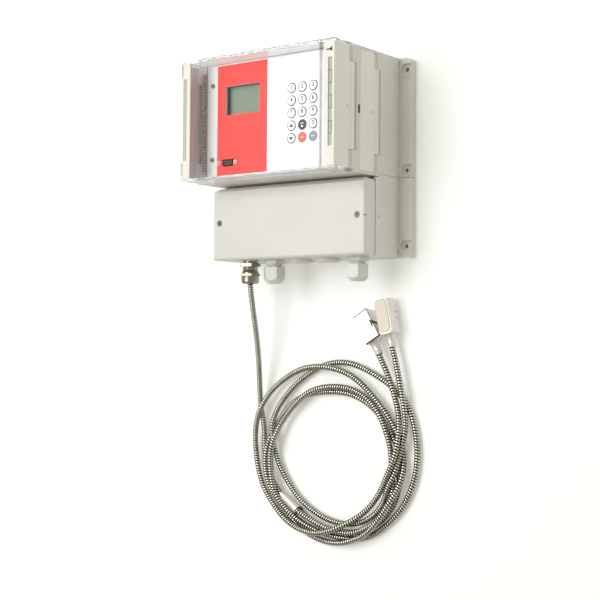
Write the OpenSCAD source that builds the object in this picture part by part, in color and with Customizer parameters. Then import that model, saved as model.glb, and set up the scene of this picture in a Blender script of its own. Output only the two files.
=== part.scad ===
// Wall-mounted ultrasonic flow meter with a clear hinged cover, a hinged
// operating panel, a screwed terminal compartment and two clamp-on transducers
// on armoured conduits.
// X runs to the right, Z up, and the wall is the plane y = 0, so the front is -Y.
// The origin is the centre of the wall fixing pattern, on the wall.

/* [Housing] */
// Width of the housing between its side flanges
body_w = 227; // [223:1:240]
// Height of the upper housing that holds the electronics
upper_h = 142; // [141:1:150]
// Height of the lower housing that holds the terminals
lower_h = 94.6; // [90:0.2:110]
// Gap between the upper and lower base mouldings
joint_gap = 0.4; // [0.3:0.1:1]
// Reach of the frame and the clear cover below the upper base moulding
door_drop = 3.1; // [2:0.1:3.4]
// Depth of both base mouldings from the wall
base_d = 64.5; // [64:0.5:75]
// Setback of the lower base moulding's front behind the upper one's
low_set = 3; // [2:0.1:4]
// Depth of the hinged operating frame
door_d = 51.2; // [48:0.2:60]
// Depth of the clear cover
cover_d = 29.7; // [26:0.1:36]
// Gap between stacked housing parts
seam = 0.3; // [0.25:0.05:0.5]
// Wall of the base mouldings
wall = 3.5; // [2.5:0.1:4]
// Width of the channel along each side of the housing
side_channel = 17.5; // [16.5:0.5:19]
// Wall between the side channel and the inside
inner_wall = 2.5; // [2:0.1:3]
// Thickness of the clear cover's front and end walls
clear_t = 3; // [2.5:0.1:3.5]

/* [Wall flanges] */
// Width of each side flange
flange_w = 15.5; // [14:0.5:18]
// Thickness of the flange plate
flange_t = 12; // [10:0.5:14]
// Height of the boss rim above the flange plate
boss_rise = 1.3; // [0.8:0.1:2]
// Distance of the fixing holes from the housing side
hole_inset = 8.5; // [8:0.5:9]
// Height from the lowest to the highest fixing hole
hole_span_z = 210; // [200:1:215]
// Height of the middle fixing hole above the lowest one
hole_mid_z = 90; // [86:1:95]
// Distance of the highest fixing hole below the top edge
hole_edge = 13.5; // [13:0.5:16]
// Radius of the fixing holes
hole_r = 2.6; // [2:0.1:3]
// Radius of the screw wells
well_r = 6.5; // [5.5:0.5:7]
// Distance of the well floor from the wall
well_floor = 8.5; // [6:0.5:9]

/* [Hinges and closing strips] */
// Thickness of the strips
strip_t = 2.5; // [2:0.1:2.5]
// Length of the tongues along the housing
tongue_h = 99; // [90:1:104]
// Distance of a tongue's end behind the parting plane
tongue_reach = 12.6; // [11:0.2:14]
// Radius of the knuckles and tongue ends
knuckle_r = 3.2; // [3:0.1:3.4]
// Radius of the hinge pins
pin_r = 1.3; // [1.1:0.1:1.4]
// Running clearance of a knuckle on its pin
pin_gap = 0.05; // [0.02:0.01:0.1]
// Length of the cover strip's front leg
front_leg = 14.7; // [14:0.1:14.7]

/* [Operating panel] */
// Bare strip of the panel plate on each side of the foils
plate_strip = 16; // [14:0.5:18]
// Bare edge of the panel plate above and below the foils
foil_edge = 1.1; // [0.6:0.1:4]
// Share of the foil width that is red
red_share = 0.48; // [0.46:0.01:0.5]
// Thickness of a foil
foil_t = 0.5; // [0.3:0.1:0.6]
// Thickness of the panel plate
plate_t = 3; // [2.5:0.1:3]
// Width of the display window
window_w = 52.4; // [48:0.2:54]
// Height of the display window
window_h = 35; // [30:0.5:37]
// Distance of the keys from each other across
key_pitch_x = 15.5; // [15:0.1:16]
// Distance of the keys from each other in height
key_pitch_z = 14.65; // [14.5:0.05:15]
// Radius of the round keys
key_r = 6.1; // [5.5:0.1:6.2]
// Travel of a key
key_travel = 0.4; // [0.3:0.05:0.4]

/* [Terminal cover] */
// Depth of the terminal cover
tcover_d = 22.7; // [20:0.1:26]
// Gap between the frame and the terminal cover below it
tcover_gap = 2.7; // [1.5:0.1:3.5]
// Depth of the bevel along the terminal cover's top edge
tcover_bevel = 8; // [6:0.2:9]
// Height of the bevel along the terminal cover's top edge
tcover_bevel_h = 4.6; // [3:0.1:5]
// Wall of the terminal cover
tcover_wall = 3; // [2.5:0.1:3.5]
// Distance of the cover screws from the middle
tscrew_x = 103; // [100:1:104]

/* [Cable entries] */
// Distance between cable entries
entry_pitch = 40.6; // [38:0.1:42]
// Shift of the three middle entries to the left of even spacing
entry_shift = 2.4; // [0:0.2:3]
// Distance of the cable entries from the wall
entry_y = 50; // [48:0.5:50]
// Radius of the entry holes
entry_r = 10.2; // [10:0.1:10.5]
// Radius of the threaded shanks in the entries
shank_r = 10; // [9.5:0.1:10]
// Width across the flats of the gland hexagons
gland_flat = 24; // [22:0.5:24]
// Length of a plastic gland below the housing
gland_len = 29; // [28:0.5:31]
// Length of the conduit gland below the housing
conduit_gland_len = 28.4; // [27:0.2:31]
// Bore of the plastic cable glands
gland_bore_r = 4.5; // [3:0.1:5]
// Radius of the blanking plugs
plug_r = 14.5; // [12.5:0.5:15]
// Height of the blanking plug heads
plug_h = 5; // [4:0.5:6]

/* [Conduits and transducers] */
// Outer diameter of the armoured conduit
conduit_d = 6.6; // [6:0.1:7.2]
// Outer radius of the coiled conduits
coil_r = 122; // [122:1:124]
// Inner radius of the coiled conduits
coil_hole_r = 76; // [70:1:80]
// Thickness of the coil
coil_t = 24; // [22:1:26]
// Length of a transducer body
trans_len = 43; // [40:1:44]
// Width of a transducer body
trans_w = 22; // [20:1:23]
// Height of a transducer body from the wall
trans_h = 22; // [20:1:23]
// Length of the sleeve on a transducer
neck_len = 15; // [12:0.5:15]
// Radius of the sleeve on a transducer
neck_r = 4.8; // [4.5:0.1:5.4]

/* [Hidden] */
$fn = 48;

housing_colour = [0.80, 0.79, 0.74];
strip_colour = [0.84, 0.83, 0.79];
clear_colour = [0.85, 0.90, 0.92, 0.35];
steel_colour = [0.72, 0.72, 0.70];
nickel_colour = [0.66, 0.62, 0.56];
plastic_colour = [0.82, 0.85, 0.83];
board_colour = [0.10, 0.36, 0.22];
black_colour = [0.08, 0.08, 0.09];
rubber_colour = [0.16, 0.16, 0.17];
red_colour = [1.0, 0.25, 0.24];
white_colour = [0.93, 0.93, 0.91];

half_w = body_w / 2;
in_half = half_w - side_channel;
wall_half = in_half + inner_wall;
z_top = hole_span_z / 2 + hole_edge;
z_split = z_top - upper_h;
z_mid = (z_top + z_split) / 2;
z_door = z_split - door_drop;
z_lower = z_split - joint_gap;
z_bot = z_lower - lower_h;
in_h = upper_h / 2 - wall;
y_base = -base_d;
y_low = y_base + low_set;
y_door_back = y_base - seam;
y_door = y_door_back - door_d;
y_cover_back = y_door - seam;
y_cover = y_cover_back - cover_d;
fit = 0.3;

// Hinge axes: the two knuckle rows lie behind their parting planes.
axis_x = half_w - knuckle_r;
axis_door_y = y_door_back + tongue_reach - 1.9 - knuckle_r;
axis_cover_y = y_cover_back + tongue_reach - knuckle_r;
hinge_air = 0.8;
recess_d = 2 * knuckle_r + 1.2;
lip = 1.5;
corner_cut = 1.8;
pin_seat = 6;
notch_r = 9;
notch_d = 2.2;
strip_ends = clear_t + fit;
pocket_end_w = 9;
pocket_end_d = 9;

// Seal ring shared by the base and the door.
seal_w = 1.6;
seal_d = 2;
seal_proud = 0.2;
seal_half = wall_half;
seal_h = upper_h / 2 - 1;

hole_x = half_w + hole_inset;
hole_z = [hole_span_z / 2, -hole_span_z / 2];
hole_z_mid = -hole_span_z / 2 + hole_mid_z;

// Panel parts, from the front backwards.
ledge = 12;
ledge_t = 3;
rebate = 2.6;
y_plate_back = y_door + rebate;
y_plate = y_plate_back - plate_t;
y_foil = y_plate - foil_t;
y_ledge_back = y_plate_back + ledge_t;
foil_w = 2 * (in_half - plate_strip);
foil_h = 2 * (in_h - foil_edge);
red_edge = foil_w * (red_share - 0.5);
window_c = [(red_edge - foil_w / 2) / 2 + 0.5, z_mid + foil_h / 2 - 43.3];
pane_t = 1.5;
pane_rim = 3;
module_rim = 6;
module_t = 9;
module_frame = 4;
key_c = [foil_w / 2 - 31.7, z_mid - 1.5];
key_proud = 0.6;
key_hole_gap = 0.3;
key_skirt = 0.8;
key_skirt_t = 0.6;
y_key_skirt = y_plate_back + fit;
y_key_back = y_key_skirt + key_skirt_t;
dome_r = 4;
dome_t = 0.4;
y_keyboard = y_key_back + key_travel + 0.1 + dome_t;
keyboard_t = 1.6;
keyboard_rim = [key_pitch_x + 10.5, 2 * key_pitch_z + 10];
connector_c = [-foil_w / 2 + 17.4, z_mid - foil_h / 2 + 14.7];
connector_span = 25;
connector_body = [15, 6, 8];
panel_screw_x = in_half - 8.5;
panel_screw_z = [in_h - 23.8, -in_h + 21];

// Controller board behind the display, on posts that stay clear of its neighbours.
board_t = 1.6;
post_r = 2.5;
y_controller = y_plate_back + 14;
controller = [in_half - ledge - 5, in_h - ledge / 2 - 8.5];
controller_posts = [
  [-controller[0] + 3.5, controller[1] - 3.5],
  [controller[0] - 3.5, controller[1] - 3.5],
  [-controller[0] + 3.5, connector_c[1] - z_mid + connector_body[1] + post_r + 2],
  [controller[0] - 3.5, -controller[1] + 7.5]
];

// Main board and terminal board on the back walls.
board_back = 10;
y_board = -board_back - board_t;
board_post = [in_half - 16, in_h - 12.5];
main_board_half = [board_post[0] + 6, board_post[1] + 5];
terminal_post_x = tscrew_x - 15;
terminal_board_z = z_bot + 27;
terminal_board_h = 46;
pole = 5.2;

gland_turn = [0, 4, 0, 0, -10];
entries = [for (i = [-2:2]) i * entry_pitch - (abs(i) < 2 ? entry_shift : 0)];
y_entry = -entry_y;
y_tcover_back = y_low - 0.2;
y_tcover = y_tcover_back - tcover_d;
tscrew_z = z_bot + 45.7;
tscrew_r = 1.7;
shadow_w = 1.8;
shadow_d = 2.4;
z_tcover = z_door - tcover_gap;
thread_len = 14;
locknut_flat = 22.8;

// The keys, column and row counted from the middle of the keypad.
KEYS = [
  ["key_1", -1, 2], ["key_2", 0, 2], ["key_3", 1, 2],
  ["key_4", -1, 1], ["key_5", 0, 1], ["key_6", 1, 1],
  ["key_7", -1, 0], ["key_8", 0, 0], ["key_9", 1, 0],
  ["key_up", -1, -1], ["key_enter", 0, -1], ["key_0", 1, -1],
  ["key_down", -1, -2], ["key_clear", 0, -2], ["key_menu", 1, -2]
];

// Coil and cord places.
coil_c = [14, -354];
conduit_stop = 12;
conduit_top = z_bot - conduit_stop;
main_route = [
  [-2 * entry_pitch, y_entry, conduit_top],
  [-2 * entry_pitch, y_entry, z_bot - conduit_gland_len],
  [-2 * entry_pitch, y_entry + 2, z_bot - conduit_gland_len - 14],
  [-81.5, -43, -180],
  [-83, -33, -215],
  [-88, -22, -248],
  [-93, -14, -280],
  [-96, -10, -305]
];
right_neck = [102, -12, -209];
right_tilt = 12;
left_neck = [78.5, -12, -219.5];
left_tilt = 30;
function axis_of(tilt) = [sin(tilt), 0, -cos(tilt)];
right_route = [
  right_neck + neck_len * axis_of(right_tilt),
  right_neck + (neck_len + 7) * axis_of(right_tilt),
  [110, -12, -240],
  [113.5, -12, -254],
  [116.5, -12, -269],
  [119, -11, -285],
  [121, -11, -301]
];
left_route = [
  left_neck + neck_len * axis_of(left_tilt),
  left_neck + (neck_len + 6) * axis_of(left_tilt),
  [93.5, -12, -245],
  [99.5, -12, -257],
  [105, -12, -270],
  [109.5, -12, -283]
];
ferrule_a = [-60, -9, -409.5];
ferrule_b = [-34, -9, -428];
ferrule_r = 5.4;

// Points of an arc, the angle in degrees.
function arc(c, r, a0, a1, n = 5) =
  [for (i = [0:n]) [c[0] + r * cos(a0 + (a1 - a0) * i / n), c[1] + r * sin(a0 + (a1 - a0) * i / n)]];
// Rectangle with its own radius at each corner, anticlockwise from the lower left.
function round_rect(a, b, r) = concat(
  arc([a[0] + r[0], a[1] + r[0]], r[0], 180, 270),
  arc([b[0] - r[1], a[1] + r[1]], r[1], 270, 360),
  arc([b[0] - r[2], b[1] - r[2]], r[2], 0, 90),
  arc([a[0] + r[3], b[1] - r[3]], r[3], 90, 180));

function unit(v) = v / norm(v);
function hermite(p, i, t) =
  let (n = len(p) - 1,
       a = p[i],
       b = p[i + 1],
       ta = (i == 0 ? b - a : (b - p[i - 1]) / 2),
       tb = (i == n - 1 ? b - a : (p[i + 2] - a) / 2))
  (2 * t * t * t - 3 * t * t + 1) * a + (t * t * t - 2 * t * t + t) * ta
  + (3 * t * t - 2 * t * t * t) * b + (t * t * t - t * t) * tb;
function smooth(p, k) = concat([for (i = [0:len(p) - 2]) for (j = [0:k - 1]) hermite(p, i, j / k)],
                               [p[len(p) - 1]]);
// Tube with a ring of flat sides around each point of a route.
module tube(route, d, sides = 10) {
  n = len(route);
  rings = [for (i = [0:n - 1])
    let (a = route[max(i - 1, 0)],
         b = route[min(i + 1, n - 1)],
         t = unit(b - a),
         u = unit(cross(t, [1, 0.02, 0])),
         v = cross(t, u))
    for (j = [0:sides - 1]) route[i] + d / 2 * (cos(360 * j / sides) * u + sin(360 * j / sides) * v)];
  sides_f = [for (i = [0:n - 2]) for (j = [0:sides - 1])
    for (f = [[0, 1, sides + 1], [0, sides + 1, sides]])
      [for (q = f) i * sides + (q % sides + j) % sides + (q >= sides ? sides : 0)]];
  caps = [[for (j = [0:sides - 1]) sides - 1 - j], [for (j = [0:sides - 1]) (n - 1) * sides + j]];
  polyhedron(points = rings, faces = concat([for (f = sides_f) [f[0], f[2], f[1]]],
             [for (c = caps) [for (k = [len(c) - 1:-1:0]) c[k]]]), convexity = 6);
}

// Block between two corners.
module block(a, b) translate(a) cube(b - a);
// Prism along Z from a profile in X and Y.
module along_z(z0, z1) translate([0, 0, z0]) linear_extrude(z1 - z0) children();
// Prism along Y, towards the wall, from a profile in X and Z.
module along_y(y0, y1) translate([0, y1, 0]) rotate([90, 0, 0]) linear_extrude(y1 - y0) children();
// Prism along X from a profile in Y and Z.
module along_x(x0, x1) translate([x0, 0, 0]) rotate([90, 0, 90]) linear_extrude(x1 - x0) children();
// Cylinder along Y between two depths.
module rod_y(x, z, r, y0, y1) translate([x, y1, z]) rotate([90, 0, 0]) cylinder(r = r, h = y1 - y0);
module both_sides() {
  children();
  mirror([1, 0, 0]) children();
}

// Flanges with their bosses for one base moulding.
module flanges(z0, z1, r_top, r_bottom, holes) {
  along_y(-flange_t, 0)
    polygon(round_rect([-half_w - flange_w, z0], [half_w + flange_w, z1],
                       [r_bottom, r_bottom, r_top, r_top]));
  both_sides()
    for (z = holes)
      intersection() {
        rod_y(hole_x, z, well_r + 2.6, -flange_t - boss_rise, -flange_t + 1);
        block([half_w - 1, -flange_t - 3, z0], [half_w + flange_w, 0, z1]);
      }
}
module flange_holes(holes) {
  both_sides()
    for (z = holes) {
      rod_y(hole_x, z, hole_r, -flange_t - 3, 1);
      rod_y(hole_x, z, well_r, -flange_t - 3, -well_floor);
      block([hole_x, -flange_t - 3, z - well_r], [half_w + flange_w + 1, -well_floor, z + well_r]);
    }
}
// Recess for a tongue, open to the front, with the seat of the hinge pin.
module tongue_recess(y_front, axis_y) {
  y_rear = axis_y + knuckle_r + hinge_air;
  along_z(z_mid - tongue_h / 2 - 0.4, z_mid + tongue_h / 2 + 0.4)
    polygon([[half_w - recess_d, y_front - 1], [half_w + 1, y_front - 1],
             [half_w + 1, y_rear + lip + 1], [half_w, y_rear + lip],
             [half_w - lip, y_rear], [half_w - recess_d, y_rear]]);
  translate([axis_x, axis_y, z_mid - tongue_h / 2 - pin_seat])
    cylinder(r = pin_r + 0.02, h = tongue_h + 2 * pin_seat);
}
// Finger notch that runs up to the strip's rear edge at both ends of a tongue.
module finger_notch(y_front)
  translate([half_w - notch_d + notch_r, y_front, z_door + strip_ends])
    cylinder(r = notch_r, h = z_top - z_door - 2 * strip_ends);
module corner_bevel(y_front)
  translate([half_w, y_front, z_door - 1]) rotate([0, 0, 45])
    translate([-corner_cut / sqrt(2), -corner_cut, 0])
      cube([sqrt(2) * corner_cut, 2 * corner_cut, z_top - z_door + 2]);
module seal_ring(y0, y1, grow = 0)
  along_y(y0, y1)
    difference() {
      square_c(seal_half + grow, seal_h + grow);
      square_c(seal_half - seal_w - grow, seal_h - seal_w - grow);
    }
// Rectangle around the middle of the upper housing, half width and half height given.
module square_c(hw, hh) translate([-hw, z_mid - hh]) square([2 * hw, 2 * hh]);
module hinge_pins(axis_y)
  both_sides()
    translate([axis_x, axis_y, z_mid - tongue_h / 2 - pin_seat])
      cylinder(r = pin_r, h = tongue_h + 2 * pin_seat);

module base_upper() color(housing_colour)
  difference() {
    union() {
      block([-half_w, y_base, z_split], [half_w, 0, z_top]);
      flanges(z_split, z_top, 6, 0.5, [hole_z[0], hole_z_mid]);
      // Lower ends of the pockets behind the rear strips, level with the frame
      both_sides()
        block([half_w - pocket_end_w, y_base, z_door], [half_w, y_base + pocket_end_d, z_split + 1]);
    }
    difference() {
      block([-in_half, y_base - 1, z_mid - in_h], [in_half, -wall, z_mid + in_h]);
      for (x = [-1, 0, 1]) for (z = [-1, 1])
        rod_y(x * board_post[0], z_mid + z * board_post[1], 4, -board_back, 0);
    }
    block([-60, -45, z_split - 1], [60, -16, z_split + wall + 1]);
    seal_ring(y_base - 1, y_base + seal_d, 0.02);
    flange_holes([hole_z[0], hole_z_mid]);
    both_sides() {
      tongue_recess(y_base, axis_door_y);
      finger_notch(y_base);
      corner_bevel(y_base);
    }
  }

module base_lower() color(housing_colour)
  difference() {
    union() {
      block([-half_w, y_low, z_bot], [half_w, 0, z_lower]);
      flanges(z_bot, z_lower, 0.5, 2, [hole_z[1]]);
    }
    difference() {
      block([-half_w + wall, y_base - 1, z_bot + wall], [half_w - wall, -wall, z_lower - wall]);
      both_sides() block([tscrew_x - 5, y_base - 2, tscrew_z - 6], [half_w, 0, tscrew_z + 6]);
      for (x = [-1, 1]) for (z = [0, 1])
        rod_y(x * terminal_post_x, terminal_board_z + 4 + z * (terminal_board_h - 8), 3.5, -board_back, 0);
    }
    block([-60, -45, z_lower - wall - 1], [60, -16, z_lower + 1]);
    for (x = entries)
      translate([x, y_entry, z_bot - 1]) cylinder(r = entry_r, h = wall + 2);
    flange_holes([hole_z[1]]);
    both_sides() {
      rod_y(tscrew_x, tscrew_z, tscrew_r - 0.2, y_low - 1, y_low + 13);
      // Notch for the pocket end of the upper moulding
      block([half_w - pocket_end_w - fit, y_low - 1, z_door - 1],
            [half_w + 1, y_base + pocket_end_d + fit, z_lower + 1]);
      // Blind hole for a sealing wire
      translate([half_w + 1, y_base + 9, tscrew_z]) rotate([0, -90, 0]) cylinder(r = 0.9, h = 5);
    }
  }

module base_hinge_pins() color(steel_colour) hinge_pins(axis_door_y);
module cover_hinge_pins() color(steel_colour) hinge_pins(axis_cover_y);
module door_seal() color(rubber_colour) seal_ring(y_base - seal_proud, y_base + seal_d);
module cover_seal() color(rubber_colour) seal_ring(y_door - seal_proud, y_door + seal_d);

module main_board() color(board_colour)
  difference() {
    along_y(y_board, -board_back) square_c(main_board_half[0], main_board_half[1]);
    for (x = [-1, 0, 1]) for (z = [-1, 1])
      rod_y(x * board_post[0], z_mid + z * board_post[1], 1.6, y_board - 1, 0);
  }
// Box on the main board, placed by shares of the board's half width and half height.
module on_board(u0, u1, v0, v1, rise)
  block([u0 * main_board_half[0], y_board - rise, z_mid + v0 * main_board_half[1]],
        [u1 * main_board_half[0], y_board, z_mid + v1 * main_board_half[1]]);
module power_module() color(black_colour) {
  on_board(-0.86, -0.34, -0.13, 0.73, 26);
  for (i = [0:6]) {
    u = -0.85 + i * 0.075;
    on_board(u, u + 0.035, -0.12, 0.72, 30);
  }
}
module board_parts() color(rubber_colour) {
  for (i = [0:3])
    rod_y((-0.09 + i * 0.175) * main_board_half[0], z_mid + 0.6 * main_board_half[1],
          5.5, y_board - 18, y_board);
  for (i = [0:3]) on_board(0.12 + i * 0.2, 0.28 + i * 0.2, -0.73, -0.37, 14);
  on_board(-0.12, 0.16, -0.1, 0.3, 3);
  on_board(0.3, 0.7, -0.13, 0.13, 3);
  on_board(-0.81, -0.07, -0.83, -0.67, 11);
}
module terminal_board() color(board_colour)
  block([-terminal_post_x - 6, y_board, terminal_board_z],
        [terminal_post_x + 6, -board_back, terminal_board_z + terminal_board_h]);
// Two rows of clamps with a wire mouth and a screw for each pole.
module terminal_blocks() color([0.25, 0.52, 0.36])
  for (row = [[-0.77 * terminal_post_x - pole, 14], [0.07 * terminal_post_x, 12]]) {
    z = terminal_board_z;
    difference() {
      along_x(row[0], row[0] + row[1] * pole)
        polygon([[y_board, z + 8], [y_board - 17, z + 8], [y_board - 17, z + 14],
                 [y_board - 21, z + 18], [y_board - 21, z + 24], [y_board, z + 24]]);
      for (i = [0:row[1] - 1])
        translate([row[0] + (i + 0.5) * pole, y_board - 8, z + 7]) cylinder(r = 1.7, h = 9);
      for (i = [0:row[1] - 1])
        rod_y(row[0] + (i + 0.5) * pole, z + 21, 1.6, y_board - 22, y_board - 18);
    }
  }

// Tray with rounded front edges that closes the lower housing.
module tray(inset, back) {
  r = 3.2;
  s = max(r - inset, 0.4);
  x = half_w - inset;
  z0 = z_bot + inset;
  z1 = z_tcover - inset;
  y = y_tcover + inset;
  intersection() {
    along_x(-x, x)
      polygon(concat(arc([y + s, z0 + s], s, 180, 270),
        [[back, z0], [back, z1], [y + tcover_bevel - inset / 2, z1], [y, z1 - tcover_bevel_h + inset / 2]]));
    along_z(z0, z1) polygon(round_rect([-x, y], [x, back], [s, s, 0.01, 0.01]));
    along_y(y, back) polygon(round_rect([-x, z0], [x, z1], [s / 2, s / 2, s + 3, s + 3]));
  }
}
module terminal_cover() color(housing_colour)
  difference() {
    union() {
      difference() {
        tray(0, y_tcover_back - shadow_w);
        tray(tcover_wall, y_tcover_back + 1);
      }
      // Inner rim that leaves a shadow line in front of the base
      difference() {
        rim(shadow_d, y_tcover_back - 6, y_tcover_back);
        rim(tcover_wall + 1.5, y_tcover_back - 7, y_tcover_back + 1);
      }
      both_sides() rod_y(tscrew_x, tscrew_z, 5.6, y_tcover + 1, y_tcover_back);
    }
    both_sides() {
      rod_y(tscrew_x, tscrew_z, 4, y_tcover - 1, y_tcover + 3);
      rod_y(tscrew_x, tscrew_z, tscrew_r + 0.2, y_tcover, y_tcover_back + 1);
      rod_y(half_w - 2.2, tscrew_z, 0.8, y_tcover - 1, y_tcover + 12);
    }
  }
module rim(inset, y0, y1)
  along_y(y0, y1)
    translate([-half_w + inset, z_bot + inset])
      square([body_w - 2 * inset, z_tcover - z_bot - 2 * inset]);
module terminal_cover_screws() color(steel_colour)
  both_sides()
    difference() {
      union() {
        rod_y(tscrew_x, tscrew_z, 3.6, y_tcover + 0.6, y_tcover + 3);
        rod_y(tscrew_x, tscrew_z, tscrew_r - 0.2, y_tcover + 2, y_low + 11);
      }
      for (a = [0, 90])
        translate([tscrew_x, y_tcover + 1, tscrew_z]) rotate([0, a + 20, 0])
          cube([4.4, 2.4, 0.9], center = true);
    }

// Hexagon with its flats a given width apart, standing on its base.
module hex(flat, h) rotate([0, 0, 15]) cylinder(r = flat / sqrt(3), h = h, $fn = 6);
// Hexagon whose lower corners are turned away.
module nut_form(flat, h, cut)
  intersection() {
    hex(flat, h);
    rotate_extrude()
      polygon([[0, 0], [flat / sqrt(3) - cut, 0], [flat / sqrt(3) + 0.2, cut * 1.2],
               [flat / sqrt(3) + 0.2, h], [0, h]]);
  }
module entry(i) translate([entries[i], y_entry, z_bot]) children();
module conduit_gland_body() color(nickel_colour)
  entry(0)
    difference() {
      union() {
        cylinder(r = shank_r, h = thread_len);
        translate([0, 0, -3]) cylinder(r = shank_r - 0.7, h = 3.1);
        translate([0, 0, -7]) nut_form(gland_flat, 4.2, 0.8);
        translate([0, 0, 0.1 - conduit_stop]) cylinder(r = gland_flat / 2 - 2.6, h = 5.4);
      }
      translate([0, 0, -conduit_stop - 1]) cylinder(r = conduit_d / 2 - 0.7, h = thread_len + 14);
    }
// Cap with a thin hexagon near its top and a rounded lower edge.
module conduit_gland_cap() color(nickel_colour)
  entry(0)
    difference() {
      union() {
        translate([0, 0, -conduit_stop - 6.4]) nut_form(gland_flat - 0.6, 2.4, 0.4);
        rotate_extrude()
          polygon(concat([[0, -conduit_stop], [0, -conduit_gland_len]],
            arc([gland_flat / 2 - 4, -conduit_gland_len + 3], 3, -90, 0, 6),
            [[gland_flat / 2 - 1, -conduit_stop - 2.2], [gland_flat / 2 - 2.4, -conduit_stop]]));
      }
      translate([0, 0, -conduit_gland_len - 1]) cylinder(r = conduit_d / 2 + fit, h = conduit_gland_len);
    }
module cable_gland_bodies() color(plastic_colour)
  for (i = [1, 4]) entry(i)
    difference() {
      union() {
        translate([0, 0, -5]) nut_form(gland_flat, 5, 0.8);
        cylinder(r = shank_r, h = thread_len - 2);
        translate([0, 0, -8]) cylinder(r = gland_flat / 2 - 2.4, h = 3.2);
      }
      translate([0, 0, -9]) cylinder(r = gland_bore_r + 2.5, h = thread_len + 10);
    }
// Hexagonal caps that end in a dome.
module cable_gland_caps() color(plastic_colour)
  for (i = [1, 4]) entry(i)
    difference() {
      intersection() {
        translate([0, 0, -gland_len]) rotate([0, 0, gland_turn[i]]) hex(gland_flat, gland_len);
        rotate_extrude()
          polygon(concat([[0, -gland_len + 0.4], [gland_flat / 2 - 4.6, -gland_len + 0.4]],
            arc([gland_flat / 2 - 4.6, -gland_len + 1.9], 1.5, -90, -30, 3),
            arc([gland_flat / 2 - 8, -gland_len + 10], 10, -40, 0, 5),
            [[gland_flat / 2 + 2, -9], [gland_flat / 2 + 1, -8.4], [0, -8.4]]));
      }
      translate([0, 0, -gland_len - 1]) cylinder(r = gland_bore_r + 1.05, h = gland_len);
    }
module cable_gland_inserts() color(rubber_colour)
  for (i = [1, 4]) entry(i)
    difference() {
      union() {
        translate([0, 0, -gland_len + 2]) cylinder(r = gland_bore_r + 1, h = gland_len - 9);
        translate([0, 0, -7.9]) cylinder(r = gland_bore_r + 2.45, h = 12);
      }
      translate([0, 0, -gland_len]) cylinder(r = gland_bore_r, h = gland_len + 8);
    }
module blanking_plugs() color(housing_colour)
  for (i = [2, 3]) entry(i)
    difference() {
      union() {
        translate([0, 0, -plug_h])
          rotate_extrude()
            polygon(concat([[0, 0]], arc([plug_r - 1.6, 1.6], 1.6, -90, 0, 4),
                           [[plug_r, plug_h], [0, plug_h]]));
        cylinder(r = shank_r, h = thread_len - 3);
      }
      translate([0, 0, 2]) cylinder(r = shank_r - 2, h = thread_len);
      translate([0, 0, -plug_h]) rotate([0, 0, 12]) cube([2 * plug_r - 9, 2.2, 4], center = true);
    }
module gland_locknuts() color(steel_colour)
  for (i = [0:4]) entry(i)
    translate([0, 0, wall])
      difference() {
        rotate([0, 0, -15]) hex(locknut_flat, 4.5);
        translate([0, 0, -1]) cylinder(r = shank_r + 0.05, h = 7);
      }

module door_frame() color(housing_colour)
  difference() {
    block([-half_w, y_door, z_door], [half_w, y_door_back, z_top]);
    along_y(y_door - 1, y_plate_back) square_c(in_half, in_h);
    along_y(y_plate_back - 1, y_plate_back + ledge_t + 1) square_c(in_half - ledge, in_h - ledge / 2);
    along_y(y_plate_back + ledge_t, y_door_back + 1) square_c(in_half, in_h);
    seal_ring(y_door - 1, y_door + seal_d, 0.02);
    for (x = [-1, 1]) for (z = panel_screw_z)
      rod_y(x * panel_screw_x, z_mid + z, 1.3, y_plate_back - 1, y_ledge_back + 1);
    both_sides() {
      tongue_recess(y_door, axis_cover_y);
      finger_notch(y_door);
      corner_bevel(y_door);
      // Open channel that the rear strip closes
      block([wall_half + inner_wall, y_strip, z_door + clear_t],
            [half_w + 1, y_door_back + 1, z_top - clear_t]);
      // Slot for a screwdriver behind the tongue
      block([half_w - 3, y_strip - 3.2, z_mid - 6.6], [half_w + 1, y_strip - 1.8, z_mid + 3.6]);
    }
    // Corner seats for the clear cover's lugs
    for (z = [z_door - 1, z_top - clear_t - fit])
      block([half_w - lug_w - fit, y_door - 1, z],
            [half_w + 1, y_cover_back + lug_d + fit, z + clear_t + fit + 1]);
  }
y_strip = y_door + 21;
lug_w = 6;
lug_d = 9;

// Rear strip: plate with a bead along its front edge and a tongue.
module rear_strip_form() {
  bead = strip_t / 2;
  y_bead = y_strip + fit + bead;
  z0 = z_door + strip_ends;
  z1 = z_top - strip_ends;
  difference() {
    union() {
      block([half_w - strip_t, y_bead, z0], [half_w, y_door_back - fit, z1]);
      translate([half_w - bead, y_bead, z0]) cylinder(r = bead, h = z1 - z0);
      block([half_w - tongue_t, y_door_back - 1, z_mid - tongue_h / 2],
            [half_w, axis_door_y, z_mid + tongue_h / 2]);
    }
    tongue_groove(y_base);
    // Openings at the two back corners
    for (z = [z0, z1])
      block([half_w - strip_t - 1, y_door_back - corner_open, z - corner_open],
            [half_w + 1, y_door_back + 1, z + corner_open]);
  }
}
tongue_t = 2.2;
module tongue_groove(y_front)
  translate([half_w + 8.2, y_front, z_door]) cylinder(r = notch_r, h = z_top - z_door);
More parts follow.
